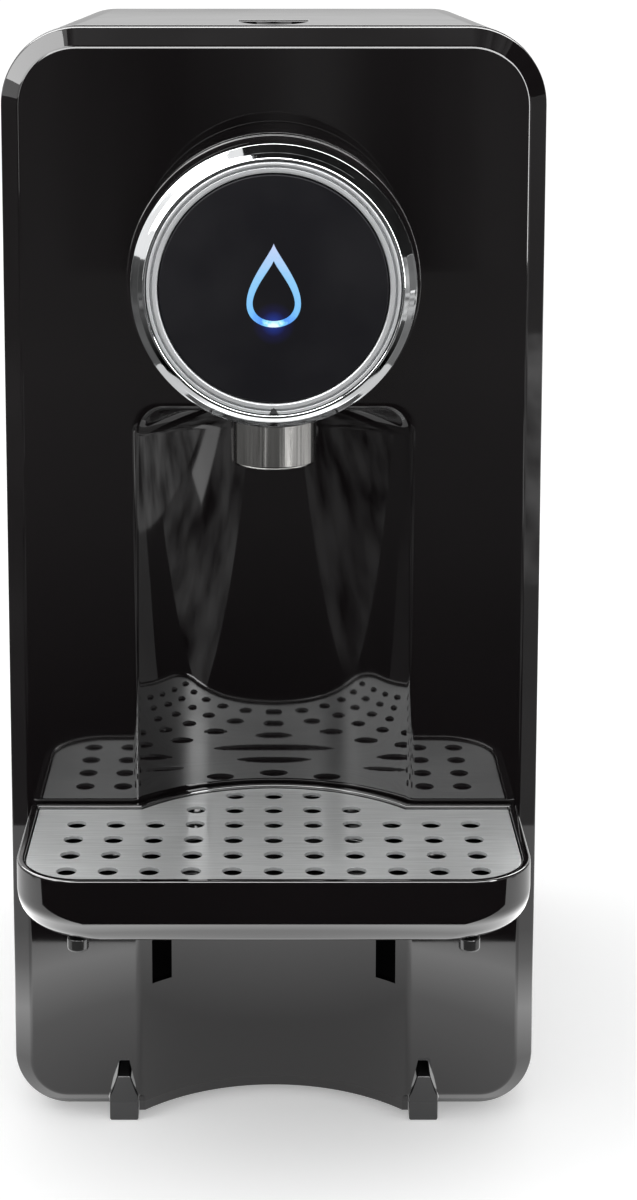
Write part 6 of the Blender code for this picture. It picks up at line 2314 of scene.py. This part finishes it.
@dataclass
class Studio:
    """The pale floor, the soft lights, the dark cards and the camera."""

    camera_place: Place = (0.0, -0.730, 0.359)
    pitch: float = 7.9
    lens: float = 69.6
    shift: Point = (0.0373, -0.28)
    table_half: float = 0.30
    table_front: float = -0.176
    card_low: float = 0.002
    card_step: float = 0.0005
    floor_lift: float = 0.31

    def glowing(self, name: str, levels: Point, bands: Place) -> Material:
        """A plain grey glow that wanders between two levels in soft bands.

        Args:
            name: The material's name.
            levels: The darker and the lighter level.
            bands: How close the bands lie along X, Y and Z.

        Returns:
            The material.
        """
        nodes = Nodes(name)
        shade = nodes.noise(nodes.place(bands), 1.0)
        greys = [(at, (grey, grey, grey)) for at, grey in zip((0.36, 0.64), levels)]
        nodes.feed(nodes.shades(shade, greys), "Emission Color")
        return self.lit(nodes, 1.0)

    def fading(
        self, name: str, strength: float, reach: Point, levels: Sequence[Point]
    ) -> Material:
        """A grey glow that changes with the distance from the dispenser's foot.

        Args:
            name: The material's name.
            strength: What the levels are multiplied by.
            reach: The distances where the ramp starts and ends.
            levels: Places along the ramp with their greys.

        Returns:
            The material.
        """
        nodes = Nodes(name)
        rise = nodes.spread(nodes.distance((1.0, 1.0, 0.0), (0.0, -0.04, 0.0)), 0.0, 1.0, *reach)
        greys = [(at, (grey, grey, grey)) for at, grey in levels]
        nodes.feed(nodes.shades(rise, greys), "Emission Color")
        return self.lit(nodes, strength)

    def lit(self, nodes: Nodes, strength: float) -> Material:
        """Finish a card's glow: black but for its own light.

        Args:
            nodes: The material's nodes.
            strength: What the glow is multiplied by.

        Returns:
            The material.
        """
        black = (0.0, 0.0, 0.0, 1.0)
        nodes.set(Base_Color=black, Specular_IOR_Level=0.0, Emission_Strength=strength)
        return nodes.material

    def seen_level(self, tree: bpy.types.NodeTree, low: float, high: float) -> Socket:
        """A level for what the camera sees, directly, in a gloss or through glass.

        Args:
            tree: The node tree that it is added to.
            low: The level for every other ray.
            high: The level for those rays.

        Returns:
            The level's socket.
        """
        path = tree.nodes.new("ShaderNodeLightPath")
        seen = path.outputs["Is Camera Ray"]
        for way in ("Is Glossy Ray", "Is Transmission Ray"):
            either = tree.nodes.new("ShaderNodeMath")
            either.operation = "MAXIMUM"
            tree.links.new(seen, either.inputs[0])
            tree.links.new(path.outputs[way], either.inputs[1])
            seen = either.outputs["Value"]
        level = tree.nodes.new("ShaderNodeMapRange")
        level.inputs["To Min"].default_value = low
        level.inputs["To Max"].default_value = high
        tree.links.new(seen, level.inputs["Value"])
        return level.outputs["Result"]

    def make_world(self) -> None:
        """A white world that lights at a plain level and shows white behind."""
        world = bpy.data.worlds.new("studio_world")
        world.use_nodes = True
        background = world.node_tree.nodes["Background"]
        background.inputs["Color"].default_value = (1.0, 1.0, 1.0, 1.0)
        level = self.seen_level(world.node_tree, 0.85, 1.0)
        world.node_tree.links.new(level, background.inputs["Strength"])
        bpy.context.scene.world = world

    def make_floor(self) -> None:
        """A wide pale floor without sheen, which reads as white where it is lit."""
        relax()
        bpy.ops.mesh.primitive_plane_add(size=60.0, location=(0.0, 0.0, 0.0))
        floor = named("studio_floor")
        nodes = Nodes("studio_white")
        shade = nodes.noise(nodes.place(), 3.0)
        white = nodes.shades(shade, [(0.3, (0.93, 0.93, 0.93)), (0.7, (0.94, 0.94, 0.94))])
        nodes.feed(white, "Base Color")
        nodes.feed(self.seen_level(nodes.tree, 0.0, self.floor_lift), "Emission Strength")
        nodes.set(Roughness=0.6, Specular_IOR_Level=0.0, Emission_Color=(1.0, 1.0, 1.0, 1.0))
        floor.data.materials.append(nodes.material)

    def card(self, name: str, low: Place, high: Place, glow: Material) -> None:
        """A flat card that only the glossy reflections show.

        Args:
            name: The card's name.
            low: Its lowest corner.
            high: Its highest corner, level with the lowest along one axis.
            glow: Its material.
        """
        relax()
        span = [b - a for a, b in zip(low, high)]
        axis = (Axis.X, Axis.Y, Axis.Z)[span.index(0.0)]
        middle = [(a + b) / 2 for a, b in zip(low, high)]
        bpy.ops.mesh.primitive_plane_add(size=1.0, location=middle, rotation=axis.turn)
        card = named(name)
        with editing(card):
            choose_all()
            resize([side or 1.0 for side in span], middle)
        card.data.materials.append(glow)
        card.visible_camera = False
        card.visible_diffuse = False
        card.visible_shadow = False
        card.visible_transmission = False

    def light(
        self,
        name: str,
        size: Point,
        place: Place,
        look: Place,
        radiance: float,
        only_gloss: bool = True,
    ) -> None:
        """A soft rectangular light aimed at a place.

        Args:
            name: The light's name.
            size: Its width and height.
            place: Its middle.
            look: The place that it faces.
            radiance: How bright its face looks, where 1 is white.
            only_gloss: Whether only glossy reflections show it.
        """
        data = bpy.data.lights.new(name, "AREA")
        data.shape = "RECTANGLE"
        data.size, data.size_y = size
        data.energy = radiance * math.pi * size[0] * size[1]
        lamp = bpy.data.objects.new(name, data)
        lamp.location = place
        lamp.rotation_euler = (Vector(look) - Vector(place)).to_track_quat("-Z", "Y").to_euler()
        lamp.visible_camera = False
        lamp.visible_diffuse = not only_gloss
        lamp.visible_glossy = only_gloss
        bpy.context.scene.collection.objects.link(lamp)

    def make_cards(self) -> None:
        """The table's glow, and darker cards on the floor beyond it, round it and above."""
        half, front, low = self.table_half, self.table_front, self.card_low
        far, side, even = -1.9, 1.5, (2.0, 2.0, 2.0)
        # The table card shows in reflections in place of the floor; its glow is darkest near the
        # dispenser's foot, as painted shade of the floor round the foot.
        ramp = [(0.0, 0.26), (0.40, 0.52), (0.62, 1.0), (0.84, 0.45), (1.0, 0.30)]
        faded = {
            "table": self.fading("table_fade_painted_shade", 2.3, (0.04, 0.20), ramp),
            "front_floor": self.fading(
                "front_fade", 0.12, (0.36, 1.3), [(0.0, 0.0), (0.4, 0.6), (1.0, 1.0)]
            ),
        }
        floor = (
            ("front_floor", (-1.7, far), (1.7, front)),
            ("right_front_floor", (0.24, -1.2), (0.7, -0.32), (0.0, 0.40), (9.0, 4.0, 1.0)),
            ("left_front_floor", (-1.2, -1.3), (-0.26, -0.32), (0.0, 0.22), (9.0, 4.0, 1.0)),
            ("right_near_floor", (half, front), (0.7, 0.5), (0.15, 0.25), (2.0, 2.0, 1.0)),
            ("right_far_floor", (0.66, -1.2), (side, 0.5), (0.10, 0.75), (4.0, 9.0, 1.0)),
            ("right_streak", (0.50, -0.98), (0.62, -0.60), (1.2, 1.6), (2.0, 2.0, 1.0)),
            ("left_streak", (-0.42, -1.25), (-0.31, -0.92), (0.5, 0.8), (2.0, 2.0, 1.0)),
            ("left_floor", (-side, front), (-half, 1.6), (0.06, 0.12), (2.0, 2.0, 1.0)),
            ("table", (-half, front), (half, 0.5)),
        )
        for index, (name, near, end, *greys) in enumerate(floor):
            height = low + self.card_step * index
            glow = faded.get(name) or self.glowing(f"{name}_glow", *greys)
            self.card(name, (*near, height), (*end, height), glow)
        upper = (
            ("front_wall", (-1.7, far, 0.0), (1.7, far, 2.4), (0.03, 0.16), (5.0, 1.0, 0.5)),
            ("right_low_wall", (1.45, far, 0.0), (1.45, -0.4, 0.4), (0.10, 0.60), (1.0, 3.0, 3.0)),
            ("right_side_wall", (1.5, -0.4, 0.0), (1.5, 1.6, 0.4), (0.12, 0.22), even),
            ("right_high_wall", (1.48, far, 0.4), (1.48, 1.6, 2.0), (0.01, 0.02), even),
            ("left_low_wall", (-1.45, far, 0.0), (-1.45, 1.6, 0.38), (0.05, 0.11), even),
            ("front_ceiling", (-0.45, far, 2.0), (1.6, -0.35, 2.0), (0.005, 0.02), even),
            ("mid_ceiling", (-0.45, -0.35, 2.0), (1.6, 0.22, 2.0), (0.03, 0.34), (3.0, 1.0, 1.0)),
            ("back_ceiling", (-0.45, 0.22, 2.0), (1.6, 1.2, 2.0), (0.005, 0.02), even),
            ("back_low_band", (-1.2, 2.4, 0.30), (1.2, 2.4, 0.405), (0.44, 0.48), even),
            ("back_high_band", (-1.2, 2.4, 0.405), (1.2, 2.4, 0.80), (0.57, 0.62), even),
        )
        for name, near, end, *greys in upper:
            self.card(name, near, end, self.glowing(f"{name}_glow", *greys))

    def make_lights(self) -> None:
        """Softboxes at the upper left, front and back, a strip each side and two fills."""
        base, lid = (0.0, 0.0, 0.1), 0.33
        lights = (
            ("box_left", (1.5, 1.45), (-0.95, -0.35, 1.25), (0.0, -0.08, 0.27), 4.6),
            ("box_front", (2.2, 0.8), (0.1, -1.5, 1.35), (0.0, -0.06, lid), 9.0),
            ("box_back", (2.4, 0.8), (0.0, 1.25, 1.45), (0.0, -0.05, lid), 6.0),
            ("strip_left", (0.20, 1.0), (-1.05, -1.05, 0.62), (0.0, 0.0, 0.35), 1.5),
            ("strip_right", (0.30, 1.1), (1.05, -1.05, 0.60), (0.0, 0.0, 0.3), 10.0),
            ("fill_left", (0.9, 0.9), (-1.0, -0.7, 1.5), base, 1.8, False),
            ("fill_top", (0.9, 0.9), (0.2, -0.5, 1.9), base, 0.9, False),
        )
        for light in lights:
            self.light(*light)

    def make_camera(self) -> None:
        """The camera at the photograph's angle."""
        data = bpy.data.cameras.new("camera")
        data.lens = self.lens
        data.sensor_fit = "AUTO"
        data.sensor_width = 36.0
        data.shift_x, data.shift_y = self.shift
        data.clip_start, data.clip_end = 0.05, 90.0
        camera = bpy.data.objects.new("camera", data)
        camera.location = self.camera_place
        camera.rotation_euler = (math.radians(90.0 - self.pitch), 0.0, 0.0)
        bpy.context.scene.collection.objects.link(camera)
        bpy.context.scene.camera = camera

    def make(self) -> None:
        """Build the studio."""
        self.make_world()
        self.make_floor()
        self.make_cards()
        self.make_lights()
        self.make_camera()
        bpy.context.scene.view_settings.view_transform = "Standard"


def main() -> None:
    """Load the frame and build every sub-assembly in order."""
    logging.basicConfig(level=logging.INFO, format="%(name)s: %(message)s")
    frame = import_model()
    sizes = Sizes()
    finishes = Finishes(sizes.dial_z)
    Works(sizes, finishes).make(frame["nodes"])
    FrontMoulding(sizes, finishes).make()
    Wrap(sizes, finishes).make()
    Lid(sizes, finishes).make()
    SpoutDrum(sizes, finishes).make()
    Dial(sizes, finishes).make()
    DripTray(sizes, finishes).make()
    Studio().make()
    relax()


if __name__ == "__main__":
    main()
